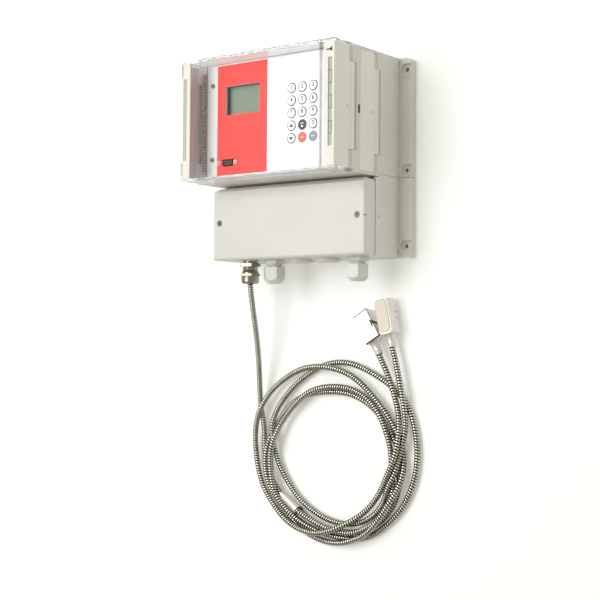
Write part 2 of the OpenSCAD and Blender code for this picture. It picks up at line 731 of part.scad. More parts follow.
// Rounded end of a tongue, outside the pin.
module tongue_end(axis_y)
  along_z(z_mid - tongue_h / 2, z_mid + tongue_h / 2)
    intersection() {
      translate([axis_x, axis_y]) circle(r = knuckle_r);
      translate([half_w - tongue_t + 0.7, axis_y - 0.01]) square([5, 2 * knuckle_r]);
    }
module knuckle(axis_y)
  translate([axis_x, axis_y, z_mid - tongue_h / 2]) cylinder(r = knuckle_r, h = tongue_h);
module pin_bore(axis_y)
  translate([axis_x, axis_y, z_mid - tongue_h / 2 - 1]) cylinder(r = pin_r + pin_gap, h = tongue_h + 2);
module door_latch_strip() color(strip_colour)
  difference() {
    union() {
      rear_strip_form();
      tongue_end(axis_door_y);
    }
    pin_air(axis_door_y);
  }
// Air between a latch tongue and the pin that it lies over.
module pin_air(axis_y)
  block([0, axis_y - 3, z_mid - tongue_h], [axis_x + pin_r + fit, axis_y + 6, z_mid + tongue_h]);
module door_hinge_strip() color(strip_colour)
  mirror([1, 0, 0])
    difference() {
      union() {
        rear_strip_form();
        knuckle(axis_door_y);
      }
      pin_bore(axis_door_y);
    }

// Front strip: an angle that wraps the cover's end, with a tongue.
module front_strip_form() {
  bead = strip_t / 2;
  z0 = z_door + strip_ends;
  z1 = z_top - strip_ends;
  difference() {
    union() {
      block([half_w - front_leg + bead, y_cover, z0], [half_w, y_cover + strip_t, z1]);
      translate([half_w - front_leg + bead, y_cover + bead, z0]) cylinder(r = bead, h = z1 - z0);
      block([half_w - strip_t, y_cover, z0], [half_w, y_cover_back - fit, z1]);
      block([half_w - tongue_t, y_cover_back - 1, z_mid - tongue_h / 2],
            [half_w, axis_cover_y, z_mid + tongue_h / 2]);
    }
    tongue_groove(y_door);
  }
}
slot_x = 8.5;
slot_w = 5.8;
slot_d = 6.5;
slot_t = 1.2;
mark_d = strip_t + 1;
recess_f = 3.6;
corner_open = 2.4;
cell = tongue_h / 7;
module cover_latch_strip() color(strip_colour)
  difference() {
    union() {
      front_strip_form();
      tongue_end(axis_cover_y);
      // Walls and bottom of the grip slot
      block([half_w - slot_x - slot_t, y_cover + 1, z_mid - tongue_h / 2 - slot_t],
            [half_w - 1, y_cover + slot_d + slot_t, z_mid + tongue_h / 2 + slot_t]);
    }
    pin_air(axis_cover_y);
    // Grip slot in the front, with every second cell open at its bottom
    block([half_w - slot_x, y_cover - 1, z_mid - tongue_h / 2],
          [half_w - slot_x + slot_w, y_cover + slot_d, z_mid + tongue_h / 2]);
    for (i = [1, 3, 5]) {
      z = z_mid - tongue_h / 2 + i * cell;
      block([half_w - slot_x, y_cover, z + 0.6],
            [half_w - slot_x + slot_w, y_cover + slot_d + slot_t + 1, z + cell - 0.6]);
      block([half_w - slot_x - 3, y_cover - 1, z + cell - 0.2],
            [half_w - slot_x + 0.1, y_cover + 0.6, z + cell + 0.3]);
    }
    // Opening mark
    along_y(y_cover - 1, y_cover + mark_d)
      translate([half_w, z_top - 12.2])
        polygon([[-10.9, -1.2], [-6.6, -1.2], [-2.8, -3.2], [-2.8, 3.4], [-5.6, 0.7], [-10.9, 0.3]]);
  }
module cover_hinge_strip() color(strip_colour)
  mirror([1, 0, 0])
    difference() {
      union() {
        front_strip_form();
        knuckle(axis_cover_y);
        // Bottom of the recess beside the tongue zone
        block([half_w - slot_x - slot_t, y_cover + 1, z_mid - tongue_h / 2 - slot_t],
              [half_w - 1, y_cover + recess_f + slot_t, z_mid + tongue_h / 2 + slot_t]);
      }
      pin_bore(axis_cover_y);
      block([half_w - slot_x - 1, y_cover - 1, z_mid - tongue_h / 2],
            [half_w + 1, y_cover + recess_f, z_mid + tongue_h / 2]);
      for (s = [-1, 1])
        translate([half_w - 2.6, y_cover, z_mid + s * (tongue_h / 2 + 10)])
          cube([2.2, 3.6, 15], center = true);
    }

// Toothed rails along the sides of the frame, behind the clear cover's pockets.
module side_combs() color(housing_colour)
  both_sides()
    along_x(wall_half + 0.6, wall_half + 5.6)
      polygon(concat(
        [[y_door, z_mid - comb_n * comb_pitch / 2], [y_door - 0.8, z_mid - comb_n * comb_pitch / 2]],
        [for (i = [0:comb_n - 1]) for (p = [[0.8, 0], [2.2, 0.6], [2.2, 2.6], [0.8, 3.2]])
          [y_door - p[0], z_mid + (i - comb_n / 2) * comb_pitch + 0.6 + p[1]]],
        [[y_door - 0.8, z_mid + comb_n * comb_pitch / 2], [y_door, z_mid + comb_n * comb_pitch / 2]]));
comb_n = 24;
comb_pitch = 5;

module panel_plate() color(housing_colour)
  difference() {
    along_y(y_plate, y_plate_back) square_c(in_half - fit, in_h - fit);
    window_hole(0);
    key_holes(key_r + key_hole_gap);
    connector_hole(0.3);
    for (x = [-1, 1]) for (z = panel_screw_z)
      rod_y(x * panel_screw_x, z_mid + z, 1.7, y_plate - 1, y_plate_back + 1);
  }
module window_hole(grow)
  along_y(y_foil - 1, y_plate_back + 1) window_outline(grow);
module key_holes(r)
  for (k = KEYS)
    rod_y(key_c[0] + k[1] * key_pitch_x, key_c[1] + k[2] * key_pitch_z, r, y_foil - 1, y_plate_back + 1);
// Outline of the nine-pole connector: wider at the top.
module connector_outline(g)
  translate(connector_c)
    polygon([[-8.6 - g, 4.2 + g], [-7.2 - g, -4.2 - g], [7.2 + g, -4.2 - g], [8.6 + g, 4.2 + g]]);
module connector_hole(g) {
  along_y(y_foil - 1, y_plate_back + 1) connector_outline(g);
  for (s = [-1, 1])
    rod_y(connector_c[0] + s * connector_span / 2, connector_c[1], 1.8, y_foil - 1, y_plate_back + 1);
}
module display_foil() color(red_colour)
  difference() {
    along_y(y_foil, y_plate) translate([-foil_w / 2, z_mid - foil_h / 2])
      square([red_edge + foil_w / 2 - 0.05, foil_h]);
    window_hole(0);
    connector_hole(0.3);
  }
module keypad_foil() color(white_colour)
  difference() {
    along_y(y_foil, y_plate)
      translate([red_edge + 0.05, z_mid - foil_h / 2]) square([foil_w / 2 - red_edge - 0.05, foil_h]);
    key_holes(key_r + key_hole_gap);
  }
module panel_screws() color(steel_colour)
  for (x = [-1, 1]) for (z = panel_screw_z)
    difference() {
      union() {
        rod_y(x * panel_screw_x, z_mid + z, 2.8, y_plate - 1.6, y_plate);
        rod_y(x * panel_screw_x, z_mid + z, 1.25, y_plate - 0.5, y_plate_back + ledge_t);
      }
      for (a = [0, 90])
        translate([x * panel_screw_x, y_plate - 1.4, z_mid + z]) rotate([0, a + 35, 0])
          cube([3.4, 1.4, 0.7], center = true);
    }
module display_window() color(clear_colour)
  along_y(y_plate_back, y_plate_back + pane_t) window_outline(pane_rim);
// Module with a deep frame, and the display glass at the frame's bottom.
module display_module() color([0.58, 0.64, 0.58])
  difference() {
    along_y(y_plate_back + pane_t, y_plate_back + pane_t + module_t) window_outline(module_rim);
    along_y(y_plate_back, y_plate_back + pane_t + module_frame) window_outline(0);
  }
module window_outline(grow)
  translate([window_c[0] - window_w / 2 - grow, window_c[1] - window_h / 2 - grow])
    square([window_w + 2 * grow, window_h + 2 * grow]);
module display_board() color(board_colour) {
  y = y_controller + board_t;
  along_y(y_controller, y) square_c(controller[0], controller[1]);
  for (p = controller_posts)
    rod_y(p[0], z_mid + p[1], post_r, y_plate_back, y_controller + 0.01);
  along_y(y, y + 2.4) translate([-0.5 * controller[0], z_mid - 0.4 * controller[1]]) square([26, 26]);
  along_y(y, y + 1.8) translate([0.08 * controller[0], z_mid - 0.2 * controller[1]]) square([16, 24]);
  along_y(y, y + 8) translate([0.43 * controller[0], z_mid + 0.4 * controller[1]]) square([30, 10]);
}
module keypad_board() color(board_colour) {
  x0 = key_c[0] - keyboard_rim[0];
  x1 = key_c[0] + keyboard_rim[0];
  z0 = key_c[1] - keyboard_rim[1];
  z1 = key_c[1] + keyboard_rim[1];
  block([x0, y_keyboard, z0], [x1, y_keyboard + keyboard_t, z1]);
  // Spacer ring between the board and the panel
  difference() {
    block([x0, y_plate_back, z0], [x1, y_keyboard + 0.01, z1]);
    block([x0 + 2, y_plate_back - 1, z0 + 2], [x1 - 2, y_keyboard, z1 - 2]);
  }
  // Snap domes under the keys
  for (k = KEYS)
    rod_y(key_c[0] + k[1] * key_pitch_x, key_c[1] + k[2] * key_pitch_z,
          dome_r, y_keyboard - dome_t, y_keyboard + 0.01);
}
module service_connector() color(black_colour)
  difference() {
    union() {
      along_y(y_foil - 1.2, y_plate_back + 1) connector_outline(0);
      along_y(y_plate_back, y_plate_back + connector_body[2])
        translate([connector_c[0] - connector_body[0], connector_c[1] - connector_body[1]])
          square([2 * connector_body[0], 2 * connector_body[1]]);
    }
    for (s = [-1, 1])
      rod_y(connector_c[0] + s * connector_span / 2, connector_c[1], 1.6, y_plate_back - 1, y_plate_back + 9);
    for (i = [0:4])
      rod_y(connector_c[0] + (i - 2) * 2.76, connector_c[1] + 1.42, 0.6, y_foil - 2, y_foil + 3);
    for (i = [0:3])
      rod_y(connector_c[0] + (i - 1.5) * 2.76, connector_c[1] - 1.42, 0.6, y_foil - 2, y_foil + 3);
  }
module connector_screws() color(steel_colour)
  for (s = [-1, 1])
    translate([connector_c[0] + s * connector_span / 2, y_foil, connector_c[1]])
      rotate([90, 0, 0])
        difference() {
          union() {
            translate([0, 0, -y_plate_back + y_foil - 7.5]) cylinder(r = 1.5, h = y_plate_back - y_foil + 8);
            cylinder(r = 2.7, h = 2, $fn = 6);
          }
          translate([0, 0, 1]) cylinder(r = 1.2, h = 3);
        }

// Key cap with a hidden skirt that keeps it behind the panel.
module key_cap(name, colour, r = key_r) {
  k = [for (q = KEYS) if (q[0] == name) q][0];
  color(colour)
    translate([key_c[0] + k[1] * key_pitch_x, 0, key_c[1] + k[2] * key_pitch_z])
      rotate([90, 0, 0])
        rotate_extrude()
          polygon(concat([[0, -y_key_back], [key_r + key_skirt, -y_key_back],
            [key_r + key_skirt, -y_key_skirt], [r, -y_key_skirt]],
            arc([r - 0.5, -y_foil + key_proud - 0.5], 0.5, 0, 90, 4),
            [[0, -y_foil + key_proud + 0.15]]));
}

module clear_cover() color(clear_colour) {
  difference() {
    block([-half_w, y_cover, z_door], [half_w, y_cover_back, z_top]);
    block([-in_half, y_cover + clear_t, z_door + clear_t], [in_half, y_cover_back + 1, z_top - clear_t]);
    both_sides()
      block([wall_half, y_cover - 1, z_door + clear_t], [half_w + 1, y_cover_back + 1, z_top - clear_t]);
  }
  // Lugs at the free corners
  for (z = [z_door, z_top - clear_t])
    block([half_w - lug_w, y_cover_back - 0.01, z], [half_w, y_cover_back + lug_d, z + clear_t]);
}

module main_conduit() color(steel_colour) tube(smooth(main_route, 2), conduit_d);
module branch_conduit_right() color(steel_colour) tube(right_route, conduit_d);
module branch_conduit_left() color(steel_colour) tube(left_route, conduit_d);
// Outer form of the coiled conduits, with a seat for the ferrule in its front.
module conduit_coil() color(steel_colour)
  difference() {
    translate([coil_c[0], 0, coil_c[1]]) rotate([90, 0, 0])
      rotate_extrude($fn = 96)
        polygon(round_rect([coil_hole_r, 0.2], [coil_r, coil_t], [6, 6, 10, 10]));
    along_line(ferrule_a, ferrule_b, 0.3)
      cylinder(r = ferrule_r + 0.2, h = norm(ferrule_b - ferrule_a) + 0.6);
    seat_mouth();
  }
// Frame whose Z runs from one point to another, starting a little before it.
module along_line(a, b, before = 0) {
  d = unit(b - a);
  translate(a - before * d) rotate([0, acos(d[2]), atan2(d[1], d[0])]) children();
}
module seat_mouth() {
  d = unit(ferrule_b - ferrule_a);
  across = [-d[2], 0, d[0]];
  along_y(-coil_t - 1, ferrule_a[1])
    polygon([for (p = [[ferrule_a - 0.3 * d, 1], [ferrule_b + 0.3 * d, 1],
                       [ferrule_b + 0.3 * d, -1], [ferrule_a - 0.3 * d, -1]])
      [p[0][0] + p[1] * (ferrule_r + 0.2) * across[0], p[0][2] + p[1] * (ferrule_r + 0.2) * across[2]]]);
}
module splitter_ferrule() color(nickel_colour)
  along_line(ferrule_a, ferrule_b)
    rotate_extrude()
      polygon([[0, 0], [4.2, 0], [4.2, 4], [ferrule_r, 5], [ferrule_r, norm(ferrule_b - ferrule_a) - 1],
               [ferrule_r - 0.6, norm(ferrule_b - ferrule_a)], [0, norm(ferrule_b - ferrule_a)]]);

// Transducer in its own frame: the sleeve's end at the origin, the body above.
module transducer_form(pad_sign)
  difference() {
    union() {
      translate([0, 0, -0.5])
        intersection() {
          along_z(0.5, trans_len + 0.5)
            polygon(round_rect([-trans_w / 2, -trans_h / 2], [trans_w / 2, trans_h / 2], [2, 2, 2, 2]));
          along_y(-trans_h / 2, trans_h / 2)
            polygon(round_rect([-trans_w / 2, 0.5], [trans_w / 2, trans_len + 0.5], [2, 2, 2.5, 2.5]));
        }
      translate([0, 0, -neck_len])
        rotate_extrude()
          polygon([[0, 0], [neck_r + 0.4, 0], [neck_r + 0.4, 2], [neck_r, 2.6],
                   [neck_r, neck_len + 1], [0, neck_len + 1]]);
    }
    // Seat of the coupling pad
    pad_form(pad_sign, 0.05, trans_h / 2 - 1, trans_h / 2 + 1);
    // Blind holes for the mounting clamp
    for (z = [0.37, 0.57])
      translate([trans_w / 2 + 1, 0, trans_len * z]) rotate([0, -90, 0]) cylinder(r = 1.1, h = 3);
  }
module pad_form(pad_sign, grow, d0, d1)
  along_y(min(pad_sign * d0, pad_sign * d1), max(pad_sign * d0, pad_sign * d1))
    polygon(round_rect([-trans_w / 2 + 2.4 - grow, 2.6 - grow],
                       [trans_w / 2 - 2.4 + grow, trans_len - 2.4 + grow], [4, 4, 4, 4]));
module place_right() translate(right_neck) rotate([0, -right_tilt, 0]) children();
module place_left() translate(left_neck) rotate([0, -left_tilt, 0]) children();
module transducer_right() color(steel_colour) place_right() transducer_form(-1);
module transducer_left() color(steel_colour) place_left() transducer_form(1);
module coupling_pads() color([0.90, 0.84, 0.75]) {
  place_right() pad_form(-1, 0, trans_h / 2 - 1, trans_h / 2 + 0.4);
  place_left() pad_form(1, 0, trans_h / 2 - 1, trans_h / 2 + 0.4);
}

base_upper();
base_lower();
base_hinge_pins();
door_seal();
main_board();
power_module();
board_parts();
terminal_board();
terminal_blocks();
terminal_cover();
terminal_cover_screws();
conduit_gland_body();
conduit_gland_cap();
cable_gland_bodies();
cable_gland_caps();
cable_gland_inserts();
blanking_plugs();
gland_locknuts();
door_frame();
door_hinge_strip();
side_combs();
panel_plate();
display_foil();
keypad_foil();
panel_screws();
display_window();
display_module();
display_board();
keypad_board();
service_connector();
connector_screws();
cover_hinge_pins();
cover_seal();
door_latch_strip();
clear_cover();
cover_hinge_strip();
cover_latch_strip();
key_cap("key_1", white_colour);  // key_1
key_cap("key_2", white_colour);  // key_2
key_cap("key_3", white_colour);  // key_3
key_cap("key_4", white_colour);  // key_4
key_cap("key_5", white_colour);  // key_5
key_cap("key_6", white_colour);  // key_6
key_cap("key_7", white_colour);  // key_7
key_cap("key_8", white_colour);  // key_8
key_cap("key_9", white_colour);  // key_9
key_cap("key_up", white_colour);  // key_up
key_cap("key_enter", black_colour);  // key_enter
key_cap("key_0", white_colour);  // key_0
key_cap("key_down", white_colour);  // key_down
key_cap("key_clear", red_colour);  // key_clear
key_cap("key_menu", [0.62, 0.64, 0.68]);  // key_menu
main_conduit();
conduit_coil();
splitter_ferrule();
branch_conduit_left();
branch_conduit_right();
transducer_left();
transducer_right();
coupling_pads();
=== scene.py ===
import math
from collections import namedtuple

import bpy
import numpy as np
from mathutils import Matrix, Vector


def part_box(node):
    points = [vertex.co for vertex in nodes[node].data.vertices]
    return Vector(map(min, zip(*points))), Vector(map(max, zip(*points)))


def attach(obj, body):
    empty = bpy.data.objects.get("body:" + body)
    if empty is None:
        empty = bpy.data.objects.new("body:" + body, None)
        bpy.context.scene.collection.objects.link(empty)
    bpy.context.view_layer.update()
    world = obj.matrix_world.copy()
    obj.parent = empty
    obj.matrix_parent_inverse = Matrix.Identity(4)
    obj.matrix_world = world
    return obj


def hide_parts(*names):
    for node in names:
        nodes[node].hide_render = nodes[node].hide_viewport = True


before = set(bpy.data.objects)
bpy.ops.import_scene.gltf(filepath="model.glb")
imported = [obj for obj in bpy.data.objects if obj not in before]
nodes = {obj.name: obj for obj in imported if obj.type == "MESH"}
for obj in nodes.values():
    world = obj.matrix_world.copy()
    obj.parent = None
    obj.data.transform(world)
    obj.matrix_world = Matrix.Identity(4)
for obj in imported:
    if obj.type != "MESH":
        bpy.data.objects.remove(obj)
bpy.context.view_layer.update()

# Sizes and places are in millimetres, and MM turns them into Blender's metres
MM = 0.001
scene = bpy.context.scene

# Housing: half its width, its top, the middle of its upper part, and the cover's front plane
HALF_W, Z_TOP, Z_MID, Y_COVER = 113.5, 118.5, 47.5, -146.0
# Clear cover: its lower edge, half its width inside, and the thickness of its walls
Z_DOOR, IN_HALF, CLEAR_T = -26.6, 96.0, 3.0


# Camera
LENS_MM = 78.03
SENSOR_MM = 36.0
CLIP_START = 50
CAMERA_AT = (940.75, -1310.1, -224.34)
CAMERA_YAW, CAMERA_PITCH, CAMERA_ROLL = 36.84, 2.05, -0.43


def make_camera():
    """The camera stands in front of the wall, to the right of the housing and a little below it."""
    data = bpy.data.cameras.new("camera")
    data.lens = LENS_MM
    data.sensor_width = SENSOR_MM
    data.sensor_fit = "HORIZONTAL"
    data.clip_start = CLIP_START * MM
    camera = bpy.data.objects.new("camera", data)
    scene.collection.objects.link(camera)
    turn = (Matrix.Rotation(math.radians(CAMERA_YAW), 4, "Z")
            @ Matrix.Rotation(math.radians(CAMERA_PITCH), 4, "X")
            @ Matrix.Rotation(math.radians(CAMERA_ROLL), 4, "Y")
            @ Matrix.Rotation(math.radians(90), 4, "X"))
    camera.matrix_world = Matrix.Translation(Vector(CAMERA_AT) * MM) @ turn
    scene.camera = camera


make_camera()


# Routes of the conduits
# The hoses' diameter, the coil's centre, and how far apart its layers are
HOSE_D = 7.3
COIL_X, COIL_Z = 14, -354
LAYER_Y = 7.1

# Each turn list gives angle, radius and layer about the coil's centre, going
# anticlockwise from the ferrule. Layer 0 lies on the wall, 1 on layer 0, and so on.
RIGHT_TURNS = [
    (243, 87, 1.3), (254, 88, 1.0), (266, 91, 1.0), (280, 97, 1.0), (290, 102, 1.0),
    (305, 104, 1.0), (318, 106, 1.0), (328, 105, 1.0), (338, 101, 0.9), (348, 89, 0.5),
    (360, 88, 0.5), (375, 89, 0.8), (382, 88, 1.0), (400, 88, 0.9), (420, 86, 0.6),
    (445, 81, 0.4), (465, 80, 0.7), (477, 80, 1.1), (490, 78, 1.0), (505, 80, 0.8),
    (520, 83, 1.0), (537, 88, 1.5), (550, 92, 1.3), (562, 94, 1.4), (570, 97, 1.6),
    (582, 99, 1.0), (600, 99, 0.6), (620, 99, 0.3), (632, 101, 0), (640, 103, 0),
    (650, 109, 0), (660, 113, 0), (675, 114, 0), (690, 118, 0), (710, 121, 0),
    (735, 123, 0), (750, 125, 0), (765, 119, 0), (780, 114, 0), (800, 113, 0),
    (815, 109, 0), (830, 103, 0), (850, 99, 0.1), (870, 98, 0.5), (884, 94, 1.0),
    (897, 88, 0.6), (910, 85, 0.2), (930, 79, 0), (960, 78, 0), (980, 81, 0),
    (1000, 87, 0), (1015, 92, 0), (1030, 95, 0), (1045, 96, 0.4), (1055, 96, 1.1),
    (1062, 97, 1.6), (1070, 98, 1.5), (1080, 100, 1.2), (1086, 103, 1.1), (1091, 107, 1.0),
    (1097, 114, 0.9), (1104, 119, 1.0), (1113, 126, 1.1)]
LEFT_TURNS = [
    (243, 90, 0.3), (254, 92, 0.1), (266, 94, 0), (280, 98, 0), (292, 102, 0),
    (306, 105, 0), (321, 106, 0), (337, 103, 0), (350, 97, 0), (364, 96, 0),
    (376, 91, 0), (385, 86, 0), (400, 83, 0), (420, 79, 0), (445, 75, 0),
    (464, 76, 0), (483, 82, 0), (500, 87, 0), (515, 90, 0), (525, 95, 0),
    (535, 100, 0.3), (548, 102, 1.0), (560, 101, 1.3), (567, 100, 1.4), (578, 101, 0.8),
    (593, 106, 0.2), (610, 109, 0), (630, 110, 0.2), (641, 109, 0.7), (650, 108, 1.1),
    (660, 108, 1.2), (670, 106, 1.6), (680, 106, 2.0), (690, 105, 1.9), (698, 107, 1.3),
    (712, 107, 0.6), (722, 103, 0.1), (730, 100, 0.1), (745, 97, 0.4), (758, 95, 0.8),
    (770, 95, 1.0), (785, 98, 0.8), (800, 102, 0.7), (812, 105, 0.9), (820, 107, 1.0),
    (832, 111, 0.7), (850, 115, 0.4), (865, 119, 0.8), (876, 119, 1.1), (888, 120, 0.7),
    (905, 118, 0.3), (922, 118, 0.2), (940, 113, 0.3), (953, 109, 0.8), (962, 107, 1.1),
    (972, 103, 1.6), (982, 100, 1.8), (992, 95, 2.1), (1000, 91, 1.8), (1008, 88, 1.3),
    (1020, 86, 0.8), (1040, 85, 0.7), (1055, 87, 1.1), (1065, 92, 1.8), (1073, 97, 2.0),
    (1081, 101, 2.0), (1088, 104, 1.8), (1097, 108, 1.3), (1107, 113, 1.0)]
MAIN_TURNS = [
    (158, 117, 0.8), (165, 108, 0.4), (176, 106, 0.1), (190, 105, 0.2), (200, 103, 0.4),
    (208, 99, 0.6), (213, 95, 0.8)]
# Parts off the coil: from the gland down to it, and from it up to each sleeve
MAIN_DROP = [
    (-81, -50, -146.9), (-81, -48, -160.9), (-81.5, -43, -180), (-83, -33, -215),
    (-88, -22, -248), (-93, -14, -280), (-96, -10, -305)]
RIGHT_RISE = [(116.5, -12, -269), (113.5, -12, -254), (110, -12, -240), (105.1, -12, -223.7)]
LEFT_RISE = [
    (109.5, -12, -283), (105, -12, -270), (99.5, -12, -257), (93.5, -12, -245),
    (86, -12, -232.5)]
# The two ends of the ferrule, and how far each branch is from its middle there
FERRULE_A = (-60, -9, -409.5)
FERRULE_B = (-34, -9, -428)
SPLIT_Y = 3.4

# Points of a route: degrees between them on a turn, and millimetres between them at last
TURN_STEP = 2.0
ROUTE_STEP = 4.0
# Hoses keep these gaps to each other and to the wall, and this many points at each end stay
HOSE_GAP, WALL_GAP, HELD_POINTS = 0.25, 0.1, 3
# Rounds of settling, how often close points are looked up again, how far beyond the gap,
# and how many points are compared at once
SETTLE_ROUNDS, LOOKUP_EVERY, LOOKUP_REACH, LOOKUP_BLOCK = 160, 10, 5, 200
# The share of a push that is carried out, and of a shift that lasts until the next round
PUSH_SHARE, LASTING_SHARE = 1.6, 0.985
# How often routes are smoothed before they settle and after that
SMOOTH_BEFORE, SMOOTH_AFTER = 10, 4


def turns_to_points(turns):
    """Points at even angles along a list of turns."""
    turns = np.array(turns, float)
    angle = np.arange(turns[0, 0], turns[-1, 0] + 0.5, TURN_STEP)
    radius = np.interp(angle, turns[:, 0], turns[:, 1])
    layer = np.interp(angle, turns[:, 0], turns[:, 2])
    x = COIL_X + radius * np.cos(np.radians(angle))
    y = -HOSE_D / 2 - layer * LAYER_Y
    z = COIL_Z + radius * np.sin(np.radians(angle))
    return np.stack([x, y, z], axis=1)


def evenly(points, step):
    """The same route with points step apart."""
    points = np.array(points, float)
    run = np.concatenate([[0], np.cumsum(np.linalg.norm(np.diff(points, axis=0), axis=1))])
    count = max(2, int(round(run[-1] / step)) + 1)
    at = np.linspace(0, run[-1], count)
    return np.stack([np.interp(at, run, points[:, k]) for k in range(3)], axis=1)


def rounded(line, passes):
    """Smooths a route, and keeps its two ends and their directions."""
    for _ in range(passes):
        smooth = line.copy()
        smooth[2:-2] = 0.25 * line[1:-3] + 0.5 * line[2:-2] + 0.25 * line[3:-1]
        line = smooth
    return line


def close_pairs(points, hose, index, gap, step):
    """Pairs of close points, other than those that follow each other on one hose."""
    pairs = []
    for k in range(0, len(points), LOOKUP_BLOCK):
        distance = np.linalg.norm(points[k:k + LOOKUP_BLOCK, None] - points[None], axis=2)
        i, j = np.nonzero(distance < gap + LOOKUP_REACH)
        i = i + k
        keep = (j > i) & ((hose[i] != hose[j]) | (np.abs(index[i] - index[j]) > 3 * gap / step))
        pairs.append(np.stack([i[keep], j[keep]]))
    return np.concatenate(pairs, axis=1)


def settle(routes, step):
    """Lets the hoses push each other apart, and keeps them off the wall and near their routes."""
    target = np.concatenate(routes)
    hose = np.concatenate([np.full(len(r), k) for k, r in enumerate(routes)])
    count = np.concatenate([np.full(len(r), len(r)) for r in routes])
    index = np.concatenate([np.arange(len(r)) for r in routes])
    free = (index >= HELD_POINTS) & (index < count - HELD_POINTS)
    inner = (index[1:-1] > 0) & (index[1:-1] < count[1:-1] - 1)
    gap = HOSE_D + HOSE_GAP
    front_of_wall = -HOSE_D / 2 - WALL_GAP
    shift = np.zeros_like(target)
    for turn in range(SETTLE_ROUNDS):
        points = target + shift
        if turn % LOOKUP_EVERY == 0:
            i, j = close_pairs(points, hose, index, gap, step)
        away = points[j] - points[i]
        distance = np.maximum(np.linalg.norm(away, axis=1), 1e-6)
        push = np.maximum(gap - distance, 0)[:, None] * away / distance[:, None] * 0.5
        hit = (push != 0).any(axis=1)
        move, hits = np.zeros_like(points), np.zeros(len(points))
        for ends, sign in ((i, -1), (j, 1)):
            np.add.at(move, ends, sign * push)
            np.add.at(hits, ends[hit], 1)
        shift += PUSH_SHARE * move / np.maximum(hits, 1)[:, None]
        shift *= LASTING_SHARE
        blend = 0.3 * shift[:-2] + 0.4 * shift[1:-1] + 0.3 * shift[2:]
        shift[1:-1][inner] = blend[inner]
        shift = shift * free[:, None]
        y = target[:, 1] + shift[:, 1]
        shift[:, 1] += np.where(free & (y > front_of_wall), front_of_wall - y, 0)
    points = target + shift
    return [points[hose == k] for k in range(len(routes))]


main_route = np.concatenate([MAIN_DROP, turns_to_points(MAIN_TURNS), [FERRULE_A]])
split_front = np.array(FERRULE_B) + (0, -SPLIT_Y, 0)
split_back = np.array(FERRULE_B) + (0, SPLIT_Y, 0)
right_route = np.concatenate([[split_front], turns_to_points(RIGHT_TURNS), RIGHT_RISE])
left_route = np.concatenate([[split_back], turns_to_points(LEFT_TURNS), LEFT_RISE])
routes = [rounded(evenly(r, ROUTE_STEP), SMOOTH_BEFORE) for r in (main_route, right_route, left_route)]
settled = settle(routes, ROUTE_STEP)
main_line, right_line, left_line = [rounded(r, SMOOTH_AFTER) for r in settled]


# Meshes of the conduits
# The rib's pitch and depth, the rings of points to a pitch, and the points of a ring
RIB_PITCH = 3.3
RIB_DEPTH = 0.5
RIB_RINGS = 10
HOSE_SIDES = 14
# A rib's shape comes from a sine: where its groove ends, and how much of it is the slope
RIB_GROOVE, RIB_SLOPE = 0.4, 0.45
# The parts of a curve between two given points, and the step of the path that a cord states
SPLINE_PARTS = 8
PATH_STEP = 2.0


def spline(points, step):
    """A smooth curve through the points, with points step apart."""
    p = np.concatenate([[2 * points[0] - points[1]], points, [2 * points[-1] - points[-2]]])
    t = np.linspace(0, 1, SPLINE_PARTS + 1)[:-1, None]
    curve = []
    for a, b, c, d in zip(p, p[1:], p[2:], p[3:]):
        square = 2 * a - 5 * b + 4 * c - d
        cube = 3 * b - a - 3 * c + d
        curve.append(0.5 * (2 * b + (c - a) * t + square * t ** 2 + cube * t ** 3))
    curve.append(points[-1][None])
    return evenly(np.concatenate(curve), step)


def mesh_object(name, verts, faces, smooth=True):
    """A mesh object from points in millimetres."""
    mesh = bpy.data.meshes.new(name)
    mesh.from_pydata([tuple(v) for v in np.asarray(verts) * MM], [], faces)
    mesh.update()
    if smooth:
        mesh.polygons.foreach_set("use_smooth", [True] * len(mesh.polygons))
    piece = bpy.data.objects.new(name, mesh)
    scene.collection.objects.link(piece)
    return piece


def ring_faces(rows, columns, closed=False):
    """Faces between rows of points that are rings. In a closed one the last row joins the first."""
    faces = []
    for i in range(rows if closed else rows - 1):
        here, there = i * columns, (i + 1) % rows * columns
        faces += [(here + k, here + (k + 1) % columns, there + (k + 1) % columns, there + k)
                  for k in range(columns)]
    return faces


def end_faces(rows, columns):
    """The faces that close rows of rings at the first and the last one."""
    last = (rows - 1) * columns
    return [tuple(range(columns - 1, -1, -1)), tuple(range(last, last + columns))]


def across(line):
    """Two directions across a line at each of its points, which don't twist along it."""
    ahead = np.gradient(line, axis=0)
    ahead /= np.linalg.norm(ahead, axis=1)[:, None]
    upright = abs(ahead[0][2]) >= 0.9
    side = np.cross(ahead[0], (1.0, 0.0, 0.0) if upright else (0.0, 0.0, 1.0))
    sides = []
    for direction in ahead:
        side = side - direction * np.dot(side, direction)
        side = side / np.linalg.norm(side)
        sides.append(side)
    return np.array(sides), np.cross(ahead, sides)


